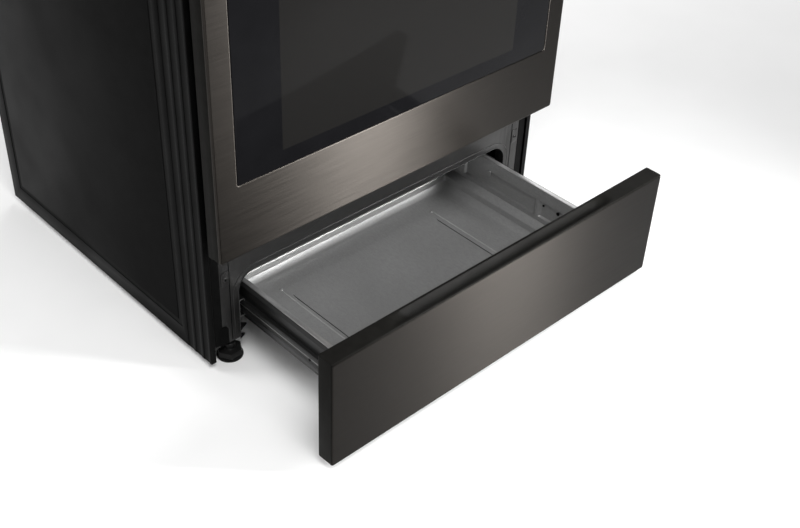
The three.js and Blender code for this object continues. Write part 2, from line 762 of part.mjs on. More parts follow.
const door = new THREE.Group();
range.add(door);
door.add(piece('door_skin', doorSkin(), BLACK_STEEL));
door.add(piece('door_glass', doorGlass(), GLASS));
door.add(piece('door_inner_glass', doorInnerGlass(), GLASS));
door.add(piece('door_liner', doorLiner(), ENAMEL));
door.add(piece('door_handle', doorHandle(), BLACK_STEEL));

const drawer = new THREE.Group();
range.add(drawer);
drawer.add(piece('drawer_front', drawerFront(), BLACK_STEEL));
drawer.add(piece('drawer_pan', drawerPan(), PAN_STEEL));
for (const [name, side] of SIDES) {
  drawer.add(piece(`drawer_side_${name}`, drawerSide(side), PAN_STEEL));
  drawer.add(piece(`slide_inner_${name}`, slideInner(side), ZINC));
}

export default range;
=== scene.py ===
"""A freestanding gas range with its storage drawer drawn out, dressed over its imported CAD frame."""

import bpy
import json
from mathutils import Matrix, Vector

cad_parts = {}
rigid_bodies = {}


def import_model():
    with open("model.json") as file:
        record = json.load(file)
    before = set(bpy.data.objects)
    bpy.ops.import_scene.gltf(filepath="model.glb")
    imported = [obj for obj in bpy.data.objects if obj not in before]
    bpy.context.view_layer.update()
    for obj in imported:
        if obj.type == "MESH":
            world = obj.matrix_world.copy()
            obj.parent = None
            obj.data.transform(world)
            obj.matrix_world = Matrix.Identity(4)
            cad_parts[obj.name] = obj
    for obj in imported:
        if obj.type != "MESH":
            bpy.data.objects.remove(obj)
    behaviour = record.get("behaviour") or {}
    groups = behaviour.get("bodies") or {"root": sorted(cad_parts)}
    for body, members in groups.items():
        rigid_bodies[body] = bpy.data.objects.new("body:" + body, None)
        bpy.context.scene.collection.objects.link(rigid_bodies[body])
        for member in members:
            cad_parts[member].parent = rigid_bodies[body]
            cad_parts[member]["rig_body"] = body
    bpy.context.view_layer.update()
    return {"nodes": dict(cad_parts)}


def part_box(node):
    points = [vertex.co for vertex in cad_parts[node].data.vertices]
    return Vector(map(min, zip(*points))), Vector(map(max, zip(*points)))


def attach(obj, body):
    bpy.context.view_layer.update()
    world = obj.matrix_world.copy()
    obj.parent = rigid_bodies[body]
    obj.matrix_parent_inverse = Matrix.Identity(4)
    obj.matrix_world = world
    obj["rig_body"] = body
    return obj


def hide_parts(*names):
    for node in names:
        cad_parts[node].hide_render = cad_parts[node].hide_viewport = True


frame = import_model()

import json
from math import cos, pi, radians, sin
from types import SimpleNamespace as Sizes

import bmesh
import bpy
from mathutils import Matrix, Vector

MM = 0.001
WELD_DISTANCE = 0.02 * MM
SIDES = (("left", -1), ("right", 1))
GRAIN = "grain"  # the UV layer that steel is brushed along


# ---------------- camera, light and floor

# place in metres, angles in degrees, lens and sensor in millimetres
CAMERA = Sizes(place=(-1.18628, -1.42436, 1.36193), azimuth=44.637, elevation=37.603, roll=2.613,
              lens=54.013, sensor=36)
# places, targets and sizes in metres, power in watts, spread in degrees
LIGHTS = {
    "strip": dict(place=(0.9, -1.573, 1.05), target=(-0.1, -0.2, 0.8), width=0.28, height=1.5, power=24,
                  spread=85),
    "overhead": dict(place=(-0.7, -1.5, 2.5), target=(-0.1, -0.4, 0), width=1.3, height=1.3, power=50),
    "back_fill": dict(place=(-1.6, 1.4, 2.0), target=(-0.4, 0.4, 0.2), width=1.0, height=1.2, power=22),
    "floor_fill": dict(place=(2.7, 2.5, 2.2), target=(2.7, 2.6, 0), width=2.2, height=2.2, power=70),
}
WORLD = Sizes(colour=(0.99, 0.99, 1.0), strength=0.42)
FLOOR = Sizes(reach=20000, colour=(0.93, 0.93, 0.925), roughness=0.6)


def make_camera():
    """The camera looks down at the drawer from the front left."""
    azimuth, down, roll = map(radians, (CAMERA.azimuth, CAMERA.elevation, CAMERA.roll))
    ahead = Vector((sin(azimuth) * cos(down), cos(azimuth) * cos(down), -sin(down)))
    level = Vector((cos(azimuth), -sin(azimuth), 0))
    upright = level.cross(ahead)
    right = level * cos(roll) + upright * sin(roll)
    up = upright * cos(roll) - level * sin(roll)
    camera = bpy.data.objects.new("camera", bpy.data.cameras.new("camera"))
    bpy.context.collection.objects.link(camera)
    turned = Matrix((right, up, -ahead)).transposed().to_4x4()
    camera.matrix_world = Matrix.Translation(CAMERA.place) @ turned
    camera.data.lens = CAMERA.lens
    camera.data.sensor_width = CAMERA.sensor
    camera.data.clip_start = 0.01
    bpy.context.scene.camera = camera


def softbox(name, place, target, width, height, power, spread=180):
    """A rectangular area light aimed at a point, out of the camera's sight."""
    light = bpy.data.lights.new(name, "AREA")
    light.shape = "RECTANGLE"
    light.size = width
    light.size_y = height
    light.energy = power
    light.spread = radians(spread)
    holder = bpy.data.objects.new(name, light)
    bpy.context.collection.objects.link(holder)
    holder.location = place
    holder.rotation_euler = (Vector(target) - Vector(place)).to_track_quat("-Z", "Y").to_euler()
    holder.visible_camera = False


def make_studio():
    """Even pale surroundings, a tall strip at the right front and fills above, behind and on the floor."""
    world = bpy.data.worlds.new("studio")
    bpy.context.scene.world = world
    world.use_nodes = True
    background = world.node_tree.nodes["Background"]
    background.inputs["Color"].default_value = (*WORLD.colour, 1)
    background.inputs["Strength"].default_value = WORLD.strength
    for name, light in LIGHTS.items():
        softbox(name, **light)
    bpy.context.scene.view_settings.view_transform = "Standard"


def make_floor():
    """A wide pale floor, which is no part of the object."""
    reach = FLOOR.reach
    square = [(-reach, -reach), (reach, -reach), (reach, reach), (-reach, reach)]
    floor = prism("floor", "z", square, -1, 0)
    surface("floor", FLOOR.colour, FLOOR.roughness, fleck=0.02, fleck_scale=3)
    floor.data.materials.append(MATERIALS["floor"])


# ---------------- materials

MATERIALS = {}


class Nodes:
    """The nodes of one material, with short ways to add them."""

    def __init__(self, name):
        MATERIALS[name] = bpy.data.materials.new(name)
        MATERIALS[name].use_nodes = True
        self.tree = MATERIALS[name].node_tree
        self.place = self.add("ShaderNodeTexCoord").outputs["Object"]

    def add(self, kind, **settings):
        """A new node with those settings."""
        node = self.tree.nodes.new(kind)
        for key, value in settings.items():
            setattr(node, key, value)
        return node

    def feed(self, node, **inputs):
        """Links or sets inputs of a node, whose names are given with _ for a space."""
        for key, value in inputs.items():
            socket = node.inputs[key.replace("_", " ")]
            if isinstance(value, bpy.types.NodeSocket):
                self.tree.links.new(value, socket)
            else:
                socket.default_value = value

    def finish(self, colour, roughness, normal, **inputs):
        """Feeds the shader."""
        shader = self.tree.nodes["Principled BSDF"]
        self.feed(shader, Base_Color=colour, Roughness=roughness, Normal=normal, **inputs)

    def noise(self, scale, stretch=(1, 1, 1), detail=3, rough=0.55):
        """Noise with that many features a metre, stretched along the axes with small numbers."""
        mapping = self.add("ShaderNodeMapping")
        self.feed(mapping, Vector=self.place, Scale=stretch)
        node = self.add("ShaderNodeTexNoise")
        self.feed(node, Vector=mapping.outputs["Vector"], Scale=scale, Detail=detail, Roughness=rough)
        return node.outputs["Fac"]

    def between(self, fac, low, high, start=0.3, end=0.7):
        """Runs from low to high as fac goes from start to end."""
        node = self.add("ShaderNodeMapRange")
        self.feed(node, Value=fac, From_Min=start, From_Max=end, To_Min=low, To_Max=high)
        return node.outputs["Result"]

    def blend(self, fac, first, second):
        """Mixes two colours."""
        node = self.add("ShaderNodeMix", data_type="RGBA")
        self.feed(node, Factor=fac)
        for socket, colour in ((node.inputs[6], first), (node.inputs[7], second)):
            if isinstance(colour, tuple):
                socket.default_value = (*colour, 1)
            else:
                self.tree.links.new(colour, socket)
        return node.outputs[2]

    def mottled(self, fac, colour, low, high):
        """A colour that runs between two shades of itself."""
        return self.blend(self.between(fac, 0, 1), shade(colour, low), shade(colour, high))

    def bump(self, height, distance):
        """Bumps of that height in metres."""
        node = self.add("ShaderNodeBump")
        self.feed(node, Height=height, Distance=distance)
        return node.outputs["Normal"]

    def inside(self, axis, low, high):
        """1 where the place lies between low and high on an axis (metres), 0 outside, with a soft edge."""
        soft = 0.6 * MM
        split = self.add("ShaderNodeSeparateXYZ")
        self.feed(split, Vector=self.place)
        along = split.outputs[axis]
        rise = self.between(along, 0, 1, low - soft, low + soft)
        fall = self.between(along, 1, 0, high - soft, high + soft)
        return self.times(rise, fall)

    def times(self, first, second):
        """The product of two values."""
        node = self.add("ShaderNodeMath", operation="MULTIPLY")
        self.tree.links.new(first, node.inputs[0])
        self.tree.links.new(second, node.inputs[1])
        return node.outputs[0]


def shade(colour, factor):
    """A colour made lighter or darker by a factor."""
    return tuple(min(1.0, part * factor) for part in colour)


def surface(name, colour, roughness, metallic=0.0, fleck=0.12, fleck_scale=60, grain=900,
            grain_depth=0.00003, coat=0.0, gloss=0.5):
    """Paint, plastic, enamel or cast metal: mottled colour, uneven gloss and a fine raised grain."""
    nodes = Nodes(name)
    tint = nodes.mottled(nodes.noise(fleck_scale), colour, 1 - fleck, 1 + fleck)
    uneven = nodes.between(nodes.noise(7, detail=2), roughness * 0.85, roughness * 1.15)
    nodes.finish(tint, uneven, nodes.bump(nodes.noise(grain), grain_depth), Metallic=metallic,
                 Coat_Weight=coat, Coat_Roughness=0.06, Specular_IOR_Level=gloss)


# how far the marks are drawn out along x, how strongly they draw the highlights out, and their depth
BRUSHING = Sizes(lines=(0.012, 1, 1), bands=(0.03, 1, 1), anisotropy=1.0, turn=0.25, depth=0.000012)


def brushed(name, colour, roughness):
    """Steel brushed along x, which draws its highlights out across the brushing."""
    nodes = Nodes(name)
    lines = nodes.noise(1500, BRUSHING.lines, detail=2)
    bands = nodes.noise(420, BRUSHING.bands)
    cloud = nodes.between(nodes.noise(5, detail=2), 0.35, 0.65)
    tint = nodes.blend(cloud, nodes.mottled(lines, colour, 0.76, 1.24),
                       nodes.mottled(bands, colour, 0.92, 1.1))
    tangent = nodes.add("ShaderNodeTangent", direction_type="UV_MAP", uv_map=GRAIN)
    nodes.finish(tint, nodes.between(bands, roughness * 0.94, roughness * 1.06),
                 nodes.bump(lines, BRUSHING.depth), Metallic=1.0, Anisotropic=BRUSHING.anisotropy,
                 Anisotropic_Rotation=BRUSHING.turn, Tangent=tangent.outputs["Tangent"])


def pressed_steel(name, colour, roughness, metallic):
    """Cold-rolled sheet: faint rolling marks across, cloudy gloss and a matt grain."""
    nodes = Nodes(name)
    rolled = nodes.noise(260, (1, 0.4, 1))
    grain = nodes.noise(600, detail=5, rough=0.75)
    cloud = nodes.noise(9)
    tint = nodes.blend(nodes.between(cloud, 0.3, 0.7), nodes.mottled(grain, colour, 0.7, 1.25),
                       nodes.mottled(rolled, colour, 0.9, 1.12))
    nodes.finish(tint, nodes.between(cloud, roughness * 0.88, roughness * 1.12),
                 nodes.bump(grain, 0.00003), Metallic=metallic)


GLASS_BLACK = (0.0045, 0.0045, 0.005)
WINDOW_GREY = (0.009, 0.0087, 0.0084)


def dark_glass(name, window=None):
    """Glass printed black behind, with a grey clear part where a window is given as (x0, x1, z0, z1)."""
    nodes = Nodes(name)
    smudge = nodes.noise(14)
    tint = nodes.mottled(smudge, GLASS_BLACK, 1, 1.25)
    if window:
        pane = nodes.times(nodes.inside("X", *window[:2]), nodes.inside("Z", *window[2:]))
        tint = nodes.blend(pane, tint, WINDOW_GREY)
    nodes.finish(tint, nodes.between(smudge, 0.05, 0.1), nodes.bump(nodes.noise(3), 0.0001),
                 Specular_IOR_Level=0.016)


def clear_glass(name):
    """Clear oven glass with a slight green-grey tint and faint smudges."""
    nodes = Nodes(name)
    smudge = nodes.noise(16)
    tint = nodes.blend(nodes.between(smudge, 0, 1), (0.72, 0.76, 0.75), (0.8, 0.83, 0.82))
    nodes.finish(tint, nodes.between(smudge, 0.02, 0.08), nodes.bump(smudge, 0.0001), Transmission_Weight=1.0)


def speckled_enamel(name, colour):
    """Oven enamel: glossy dark blue-black with pale specks."""
    nodes = Nodes(name)
    specks = nodes.between(nodes.noise(900, detail=1), 0, 1, 0.66, 0.7)
    cloud = nodes.noise(12)
    tint = nodes.blend(specks, nodes.mottled(cloud, colour, 0.85, 1.15), (0.35, 0.36, 0.38))
    nodes.finish(tint, nodes.between(cloud, 0.16, 0.26), nodes.bump(nodes.noise(60), 0.00003),
                 Coat_Weight=0.4)


STEEL_COLOUR = (0.03, 0.0271, 0.0244)
DOOR_WINDOW = (-0.252, 0.252, 0.40, 0.652)  # x from, x to, z from, z to, in metres


def make_materials():
    """Every finish of the range, by name."""
    brushed("black_steel", STEEL_COLOUR, 0.38)
    # the door's steel darkened for the drawer face as painted shade, against the lit floor it reflects
    brushed("shaded_drawer_steel", shade(STEEL_COLOUR, 0.6), 0.42)
    # black paint, also used as painted shade in holes, screw recesses and the foot well
    surface("black_paint", (0.003, 0.003, 0.003), 0.4, fleck=0.2, grain=1400, grain_depth=0.00005,
            gloss=0.022)
    surface("black_enamel", (0.01, 0.01, 0.011), 0.14, fleck=0.15, grain=300, grain_depth=0.00002, coat=0.6)
    surface("satin_black", (0.0085, 0.0082, 0.0075), 0.4, fleck=0.15, grain=1600, gloss=0.018)
    surface("frame_paint", (0.024, 0.0236, 0.0232), 0.42, 0.6, grain=1200)
    surface("edge_steel", (0.3, 0.3, 0.297), 0.35, 0.8, fleck=0.1)
    # a pale finish used only as a painted highlight along the crest of the pan's sunk panel
    surface("painted_highlight", (0.42, 0.42, 0.417), 0.4, 0.3, fleck=0.1)
    surface("marking", (0.62, 0.64, 0.64), 0.5, fleck=0.05)
    pressed_steel("grey_steel", (0.44, 0.44, 0.4375), 0.34, 0.8)
    pressed_steel("pan_steel", (0.35, 0.35, 0.3482), 0.46, 0.56)
    pressed_steel("slide_steel", (0.014, 0.014, 0.014), 0.36, 0.5)
    pressed_steel("rail_steel", (0.034, 0.034, 0.0337), 0.42, 0.6)
    pressed_steel("zinc_steel", (0.36, 0.36, 0.355), 0.42, 0.95)
    surface("cast_alloy", (0.35, 0.35, 0.345), 0.42, 0.9, grain=1100, grain_depth=0.00006)
    surface("cast_iron", (0.018, 0.018, 0.018), 0.62, fleck=0.3, grain=650, grain_depth=0.00025)
    speckled_enamel("enamel", (0.016, 0.018, 0.024))
    surface("bright_wire", (0.62, 0.62, 0.61), 0.2, 1.0, fleck=0.06, grain=500)
    surface("brass", (0.52, 0.36, 0.15), 0.3, 1.0, fleck=0.1)
    dark_glass("black_glass")
    dark_glass("window_glass", DOOR_WINDOW)
    clear_glass("clear_glass")
    surface("gasket", (0.05, 0.05, 0.048), 0.85, fleck=0.3, grain=700, grain_depth=0.0003)
    surface("black_plastic", (0.008, 0.008, 0.008), 0.34, fleck=0.15, grain=1300, grain_depth=0.00006,
            gloss=0.12)


# ---------------- mesh tools (millimetres)

def smooth_step(value):
    """Eases from 0 to 1 as the value goes from 0 to 1."""
    value = min(1.0, max(0.0, value))
    return value * value * (3 - 2 * value)


def build(name, points, faces, sharp=38):
    """An object from points in millimetres, smooth except at edges sharper than that many degrees."""
    mesh = bpy.data.meshes.new(name)
    mesh.from_pydata([Vector(point) * MM for point in points], [], faces)
    shell = bmesh.new()
    shell.from_mesh(mesh)
    bmesh.ops.remove_doubles(shell, verts=shell.verts, dist=WELD_DISTANCE)
    bmesh.ops.recalc_face_normals(shell, faces=shell.faces)
    grain = shell.loops.layers.uv.new(GRAIN)
    for face in shell.faces:
        face.smooth = True
        facing = max(range(3), key=lambda axis: abs(face.normal[axis]))
        across, up = (axis for axis in range(3) if axis != facing)
        for loop in face.loops:
            loop[grain].uv = (loop.vert.co[across], loop.vert.co[up])
    for edge in shell.edges:
        edge.smooth = len(edge.link_faces) == 2 and edge.calc_face_angle(0) < radians(sharp)
    shell.to_mesh(mesh)
    shell.free()
    made = bpy.data.objects.new(name, mesh)
    bpy.context.collection.objects.link(made)
    return made


def ring_stack(name, rings, looped=False, **options):
    """Bridges rings of as many points each; the ends are capped unless the stack is looped."""
    count = len(rings[0])
    points = [point for ring in rings for point in ring]
    faces = []
    for level in range(len(rings) if looped else len(rings) - 1):
        low = level * count
        high = (level + 1) % len(rings) * count
        for step in range(count):
            after = (step + 1) % count
            faces.append((low + step, low + after, high + after, high + step))
    if not looped:
        faces.append(tuple(range(count)))
        faces.append(tuple(range((len(rings) - 1) * count, len(rings) * count)))
    return build(name, points, faces, **options)


def arc(centre, radius, start, end, steps=5):
    """Points on an arc between two angles in degrees."""
    angles = [radians(start + (end - start) * step / steps) for step in range(steps + 1)]
    return [(centre[0] + radius * cos(angle), centre[1] + radius * sin(angle))
            for angle in angles]


def rounded(low, high, radius, steps=5):
    """The outline of a rounded rectangle between two corners."""
    radius = max(radius, 0.01)
    outline = []
    corners = ((high[0] - radius, low[1] + radius, -90), (high[0] - radius, high[1] - radius, 0),
               (low[0] + radius, high[1] - radius, 90), (low[0] + radius, low[1] + radius, 180))
    for u, v, start in corners:
        outline += arc((u, v), radius, start, start + 90, steps)
    return outline


def centred(x, z, half_x, half_z, radius, steps=5):
    """The outline of a rounded rectangle round its middle."""
    return rounded((x - half_x, z - half_z), (x + half_x, z + half_z), radius, steps)


def filleted(corners, steps):
    """An outline whose corners are rounded by the radius in their third number."""
    outline = []
    for index, corner in enumerate(corners):
        here = Vector(corner[:2])
        before = Vector(corners[index - 1][:2]) - here
        after = Vector(corners[(index + 1) % len(corners)][:2]) - here
        cut = min(corner[2], before.length * 0.49, after.length * 0.49)
        start = here + before.normalized() * cut
        end = here + after.normalized() * cut
        for step in range(steps + 1):
            t = step / steps
            outline.append(tuple(start * (1 - t) ** 2 + here * 2 * t * (1 - t) + end * t * t))
    return outline


def place(axis, outline, level):
    """Outline points set across an axis: (y, z) across x, (x, z) across y, (x, y) across z."""
    at = "xyz".index(axis)
    return [point[:at] + (level,) + point[at:] for point in outline]


def prism(name, axis, outline, low, high, edge=0.0, **options):
    """An outline drawn out along an axis, with its end edges eased by insetting towards its middle."""
    if not edge:
        return ring_stack(name, [place(axis, outline, low), place(axis, outline, high)], **options)
    us = [u for u, _ in outline]
    vs = [v for _, v in outline]
    middle = ((min(us) + max(us)) / 2, (min(vs) + max(vs)) / 2)
    half = ((max(us) - min(us)) / 2, (max(vs) - min(vs)) / 2)

    def inset(by):
        pull_u = 1 - by / half[0]
        pull_v = 1 - by / half[1]
        return [(middle[0] + (u - middle[0]) * pull_u, middle[1] + (v - middle[1]) * pull_v)
                for u, v in outline]

    levels = [(low, edge), (low + edge * 0.3, edge * 0.3), (low + edge, 0), (high - edge, 0),
              (high - edge * 0.3, edge * 0.3), (high, edge)]
    return ring_stack(name, [place(axis, inset(by), level) for level, by in levels], **options)


def lathe(name, centre, axis, profile, steps=48, wave=None, **options):
    """A profile of (radius, height) points turned about an axis; wave(angle, height) scales the radius."""
    rings = []
    for radius, height in profile:
        ring = []
        for step in range(steps):
            angle = 2 * pi * step / steps
            reach = max(radius, 0.02) * (wave(angle, height) if wave else 1)
            u, v = reach * cos(angle), reach * sin(angle)
            offset = {"x": (height, u, v), "y": (v, height, u), "z": (u, v, height)}[axis]
            ring.append(tuple(centre[index] + offset[index] for index in range(3)))
        rings.append(ring)
    return ring_stack(name, rings, **options)


def tube(name, path, radius, steps=12, looped=False):
    """A round wire along a path of points."""
    points = [Vector(point) for point in path]
    count = len(points)
    rings = []
    for index, point in enumerate(points):
        before = points[index - 1] if index or looped else point
        after = points[(index + 1) % count] if index < count - 1 or looped else point
        ahead = (after - before).normalized()
        side = ahead.cross(Vector((0, 0, 1)) if abs(ahead.z) < 0.9 else Vector((0, 1, 0))).normalized()
        up = side.cross(ahead)
        rings.append([tuple(point + side * radius * cos(turn) + up * radius * sin(turn))
                      for turn in (2 * pi * step / steps for step in range(steps))])
    return ring_stack(name, rings, looped=looped)


def join(name, parts):
    """Several objects as one."""
    whole = bmesh.new()
    for part in parts:
        whole.from_mesh(part.data)
    mesh = bpy.data.meshes.new(name)
    whole.to_mesh(mesh)
    whole.free()
    for part in parts:
        bpy.data.objects.remove(part)
    made = bpy.data.objects.new(name, mesh)
    bpy.context.collection.objects.link(made)
    return made


def fit(piece, body, slot, replaced=(), finish=None):
    """Gives a piece its finish, the slot's own unless another is named, hides the CAD nodes it stands for and
    sets it on the body it rides on.
    """
    piece.data.materials.clear()
    piece.data.materials.append(MATERIALS[finish or slot])
    if replaced:
        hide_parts(*replaced)
    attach(piece, body)
    return piece


def span(node):
    """A CAD node's lowest and highest corners in millimetres."""
    low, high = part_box(node)
    return low / MM, high / MM


# ---------------- CAD pieces that keep their shape

BODY_OF = {name: node["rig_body"] for name, node in frame["nodes"].items()}
EASED = {"cast_iron": 1.6, "black_enamel": 1.2, "bright_wire": 1.4, "gasket": 1.5}
EASED_ELSE = 0.7
REPAINTED = {f"slide_{member}_{name}": "slide_steel" for member in ("inner", "outer") for name, _ in SIDES}
REPAINTED["front_frame"] = "frame_paint"


def dress_nodes():
    """Every CAD node gets its procedural finish, cleaned facets and softened edges."""
    for name, node in frame["nodes"].items():
        slot = node.material_slots[0].material.name.split(".")[0]
        node.material_slots[0].material = MATERIALS[REPAINTED.get(name, slot)]
        for face in node.data.polygons:
            face.use_smooth = True
        weld = node.modifiers.new("weld", "WELD")
        weld.merge_threshold = WELD_DISTANCE
        flat = node.modifiers.new("flat", "DECIMATE")
        flat.decimate_type = "DISSOLVE"
        flat.angle_limit = radians(1)
        bevel = node.modifiers.new("edges", "BEVEL")
        bevel.limit_method = "ANGLE"
        bevel.angle_limit = radians(32)
        bevel.width = EASED.get(slot, EASED_ELSE) * MM
        bevel.segments = 2
        bevel.use_clamp_overlap = True
        bevel.harden_normals = True


# ---------------- door

DOOR = Sizes(corner=4, inner_corner=3, wrap=4, lip=7)
PANE = Sizes(corner=4, hole_corner=5)
EDGING = Sizes(outer=0.1, inner=1.6, arm_gap=3.5, arm_clearance=3)
HANDLE = Sizes(radius=12, post_x=311, post_corner=6)


def plate_rings(low, high, radius, levels):
    """Rounded rectangles across y: each level is (inset, y)."""
    return [place("y", rounded((low.x + by, low.z + by), (high.x - by, high.z - by), radius - by * 0.6), y)
            for by, y in levels]


def make_door():
    """A folded steel skin with rounded edges round a flush black pane."""
    low, high = span("door_skin")
    pane_low, pane_high = span("door_glass")
    front = low.y
    wrap = front + DOOR.wrap
    outside = plate_rings(low, high, DOOR.corner, [
        (0, wrap), (0, front + 2.6), (0.7, front + 0.8), (2.6, front), (3.4, front)])
    hole = plate_rings(pane_low, pane_high, PANE.hole_corner, [
        (-2.4, front), (-1.6, front), (-0.7, front + 0.4), (-0.4, front + 1.4), (-0.4, front + DOOR.lip)])
    inside = plate_rings(low, high, DOOR.inner_corner, [(1.2, front + DOOR.lip), (1.2, wrap)])
    skin = ring_stack("door_steel_skin", outside + hole + inside, looped=True)
    fit(skin, "door", "black_steel", ["door_skin"])
    make_door_edging(low, high, wrap)
    pane = ring_stack("door_outer_pane", plate_rings(pane_low, pane_high, PANE.corner, [
        (0, pane_high.y), (0, front + 1.2), (0.4, front + 0.6), (1.0, front + 0.35)]))
    fit(pane, "door", "black_glass", ["door_glass"], "window_glass")


def make_door_edging(low, high, wrap):
    """The edge behind the skin, cut away at the bottom where the hinge arms pass. Its satin black stands
    partly for a black edge and partly for a painted dark reflection on the door's steel sides.
    """
    arm_low, arm_high = span("hinge_arm_right")
    gap_low = arm_low.x - EDGING.arm_gap
    gap_high = arm_high.x + EDGING.arm_gap
    notch = arm_low.y - EDGING.arm_clearance
    outer, inner = EDGING.outer, EDGING.inner
    rim = ring_stack("rim", plate_rings(low, high, DOOR.corner, [
        (0.4, wrap + 0.2), (outer, wrap + 0.7), (outer, notch)]) + plate_rings(
        low, high, DOOR.inner_corner, [(inner, notch), (inner, wrap + 0.2)]), looped=True)
    outside = [(gap_high, low.z + outer), (high.x - outer, low.z + outer), (high.x - outer, high.z - outer)]
    inside = [(high.x - inner, high.z - inner), (high.x - inner, low.z + inner), (gap_high, low.z + inner)]
    mirrored = [(-x, z) for x, z in outside[::-1] + inside[::-1]]
    hoop = prism("hoop", "y", outside + mirrored + inside, notch, high.y)
    sill_outline = rounded((-gap_low, low.z + outer), (gap_low, low.z + inner), 0.5)
    sill = prism("sill", "y", sill_outline, notch, high.y)
    fit(join("door_edging", [rim, hoop, sill]), "door", "black_steel", finish="satin_black")


def make_door_handle():
    """A round bar with eased ends on two posts that flare towards the door."""
    low, high = span("door_handle")
    front = span("door_skin")[0].y
    radius = HANDLE.radius
    bar_y = low.y + radius
    bar_z = (low.z + high.z) / 2
    ease = [(radius - 4, 0), (radius - 1.2, 0.7), (radius, 3)]
    profile = [(reach, low.x + at) for reach, at in ease]
    profile += [(reach, high.x - at) for reach, at in reversed(ease)]
    bar = lathe("door_handle_bar", (0, bar_y, bar_z), "x", profile)
    fit(bar, "door", "black_steel", ["door_handle"])
    levels = [(front, 15, 13), (front - 2, 12.5, 11), (front - 10, 11, 9.5), (bar_y + 4, 11, 9)]
    for name, side in SIDES:
        x = side * HANDLE.post_x
        rings = [place("y", centred(x, bar_z, wide, tall, HANDLE.post_corner), y) for y, wide, tall in levels]
        fit(ring_stack(f"handle_post_{name}", rings), "door", "black_steel")


# ---------------- drawer front

SCOOP = Sizes(half_width=258, full_half_width=205, depth=15, front=3.8, rear=26.5, steps=14, end_steps=12)
FACE = Sizes(thick=1.5, bottom=1.0, top=3.2, sides=0.8, corner=2.5)


def scoop_profile(low, high, depth):
    """The drawer front's section: a black core with a rounded lip and a finger scoop in its top."""
    front, rear, bottom, top = low.y, high.y, low.z, high.z
    face = front + FACE.thick + 0.1
    lip = top - FACE.top
    outline = [(face, bottom + 0.8), (face, lip), (front + 0.3, lip + 0.1)]
    outline += arc((front + 2.6, top - 2.6), 2.6, 180, 90)
    start, end = front + SCOOP.front, front + SCOOP.rear
    for step in range(SCOOP.steps + 1):
        t = step / SCOOP.steps
        outline.append((start + (end - start) * t, top - depth * sin(pi * t ** 0.6)))
    outline += arc((rear - 2, top - 2), 2, 90, 0)
    outline += arc((rear - 2, bottom + 2), 2, 0, -90)
    return outline


def make_drawer_core():
    """The drawer front's body: its section follows the scoop along x and draws in at both ends."""
    low, high = span("drawer_front")
    middle = ((low.y + high.y) / 2, (low.z + high.z) / 2)
    stations = [(high.x, 2.4), (high.x - 0.7, 0.8), (high.x - 2.6, 0.0)]
    reach = SCOOP.half_width - SCOOP.full_half_width
    stations += [(SCOOP.half_width - reach * step / SCOOP.end_steps, 0.0)
                 for step in range(SCOOP.end_steps + 1)]
    stations = [(-x, inset) for x, inset in stations] + [(x, inset) for x, inset in reversed(stations)]
    rings = []
    for x, inset in stations:
        depth = SCOOP.depth * smooth_step((SCOOP.half_width - abs(x)) / reach)
        pull_y = 1 - inset / (high.y - low.y) * 2
        pull_z = 1 - inset / (high.z - low.z) * 2
        rings.append([(x, middle[0] + (y - middle[0]) * pull_y, middle[1] + (z - middle[1]) * pull_z)
                      for y, z in scoop_profile(low, high, depth)])
    fit(ring_stack("drawer_front_core", rings), "drawer", "black_steel", ["drawer_front"], "satin_black")


def make_drawer_face():
    """The brushed sheet over the core, with eased edges."""
    low, high = span("drawer_front")
    front = low.y
    face_low = low + Vector((FACE.sides, 0, FACE.bottom))
    face_high = high - Vector((FACE.sides, 0, FACE.top))
    levels = [(0.3, front + FACE.thick), (0, front + 1.1), (0.25, front + 0.35), (1.1, front),
              (2, front)]
    face = ring_stack("drawer_front_face", plate_rings(face_low, face_high, FACE.corner, levels))
    # the face's steel is the door's steel darkened as painted shade
    fit(face, "drawer", "black_steel", finish="shaded_drawer_steel")


# ---------------- drawer pan

PAN = Sizes(sheet=1.2, side_top=31, back_top=23.3)
# (in from the drawer side, back edge, height at the sides, height at the back, corner radius) from the
# floor outwards
PAN_LEVELS = [
    (41, -30, 0.0, 0.0, 14), (29, -22, 0.4, 0.5, 11), (26, -19.5, 1.5, 1.6, 9), (18.5, -11.6, 7.5, 8.2, 7),
    (15.8, -10.4, 11, 9.8, 6), (14.4, -10, 21.5, 21.5, 5), (12.6, -9, 23.6, 23.0, 5),
    (2, -3, 30.4, PAN.back_top, 4), (0, 0, PAN.side_top, PAN.back_top, 3),
]
PANEL = Sizes(half_width=184, front=20, back=62, slope=7.5, drop=2.2)
# (share of the slope, share of the drop, corner radius) from the panel's floor outwards
PANEL_LEVELS = ((1.0, 1.0, 7), (0.85, 0.96, 8), (0.15, 0.04, 11), (0.0, 0.0, 12))


def pan_ring(half_width, front, back, side_z, back_z, radius):
    """A rounded rectangle in plan whose back edge may lie at another height than its sides."""
    outline = rounded((-half_width, front), (half_width, back), radius)
    quarter = len(outline) // 4
    ring = []
    for index, (x, y) in enumerate(outline):
        corner, step = divmod(index, quarter)
        turn = step / (quarter - 1)
        share = {1: turn, 2: 1 - turn}.get(corner, 0)
        ring.append((x, y, side_z + (back_z - side_z) * smooth_step(share)))
    return ring


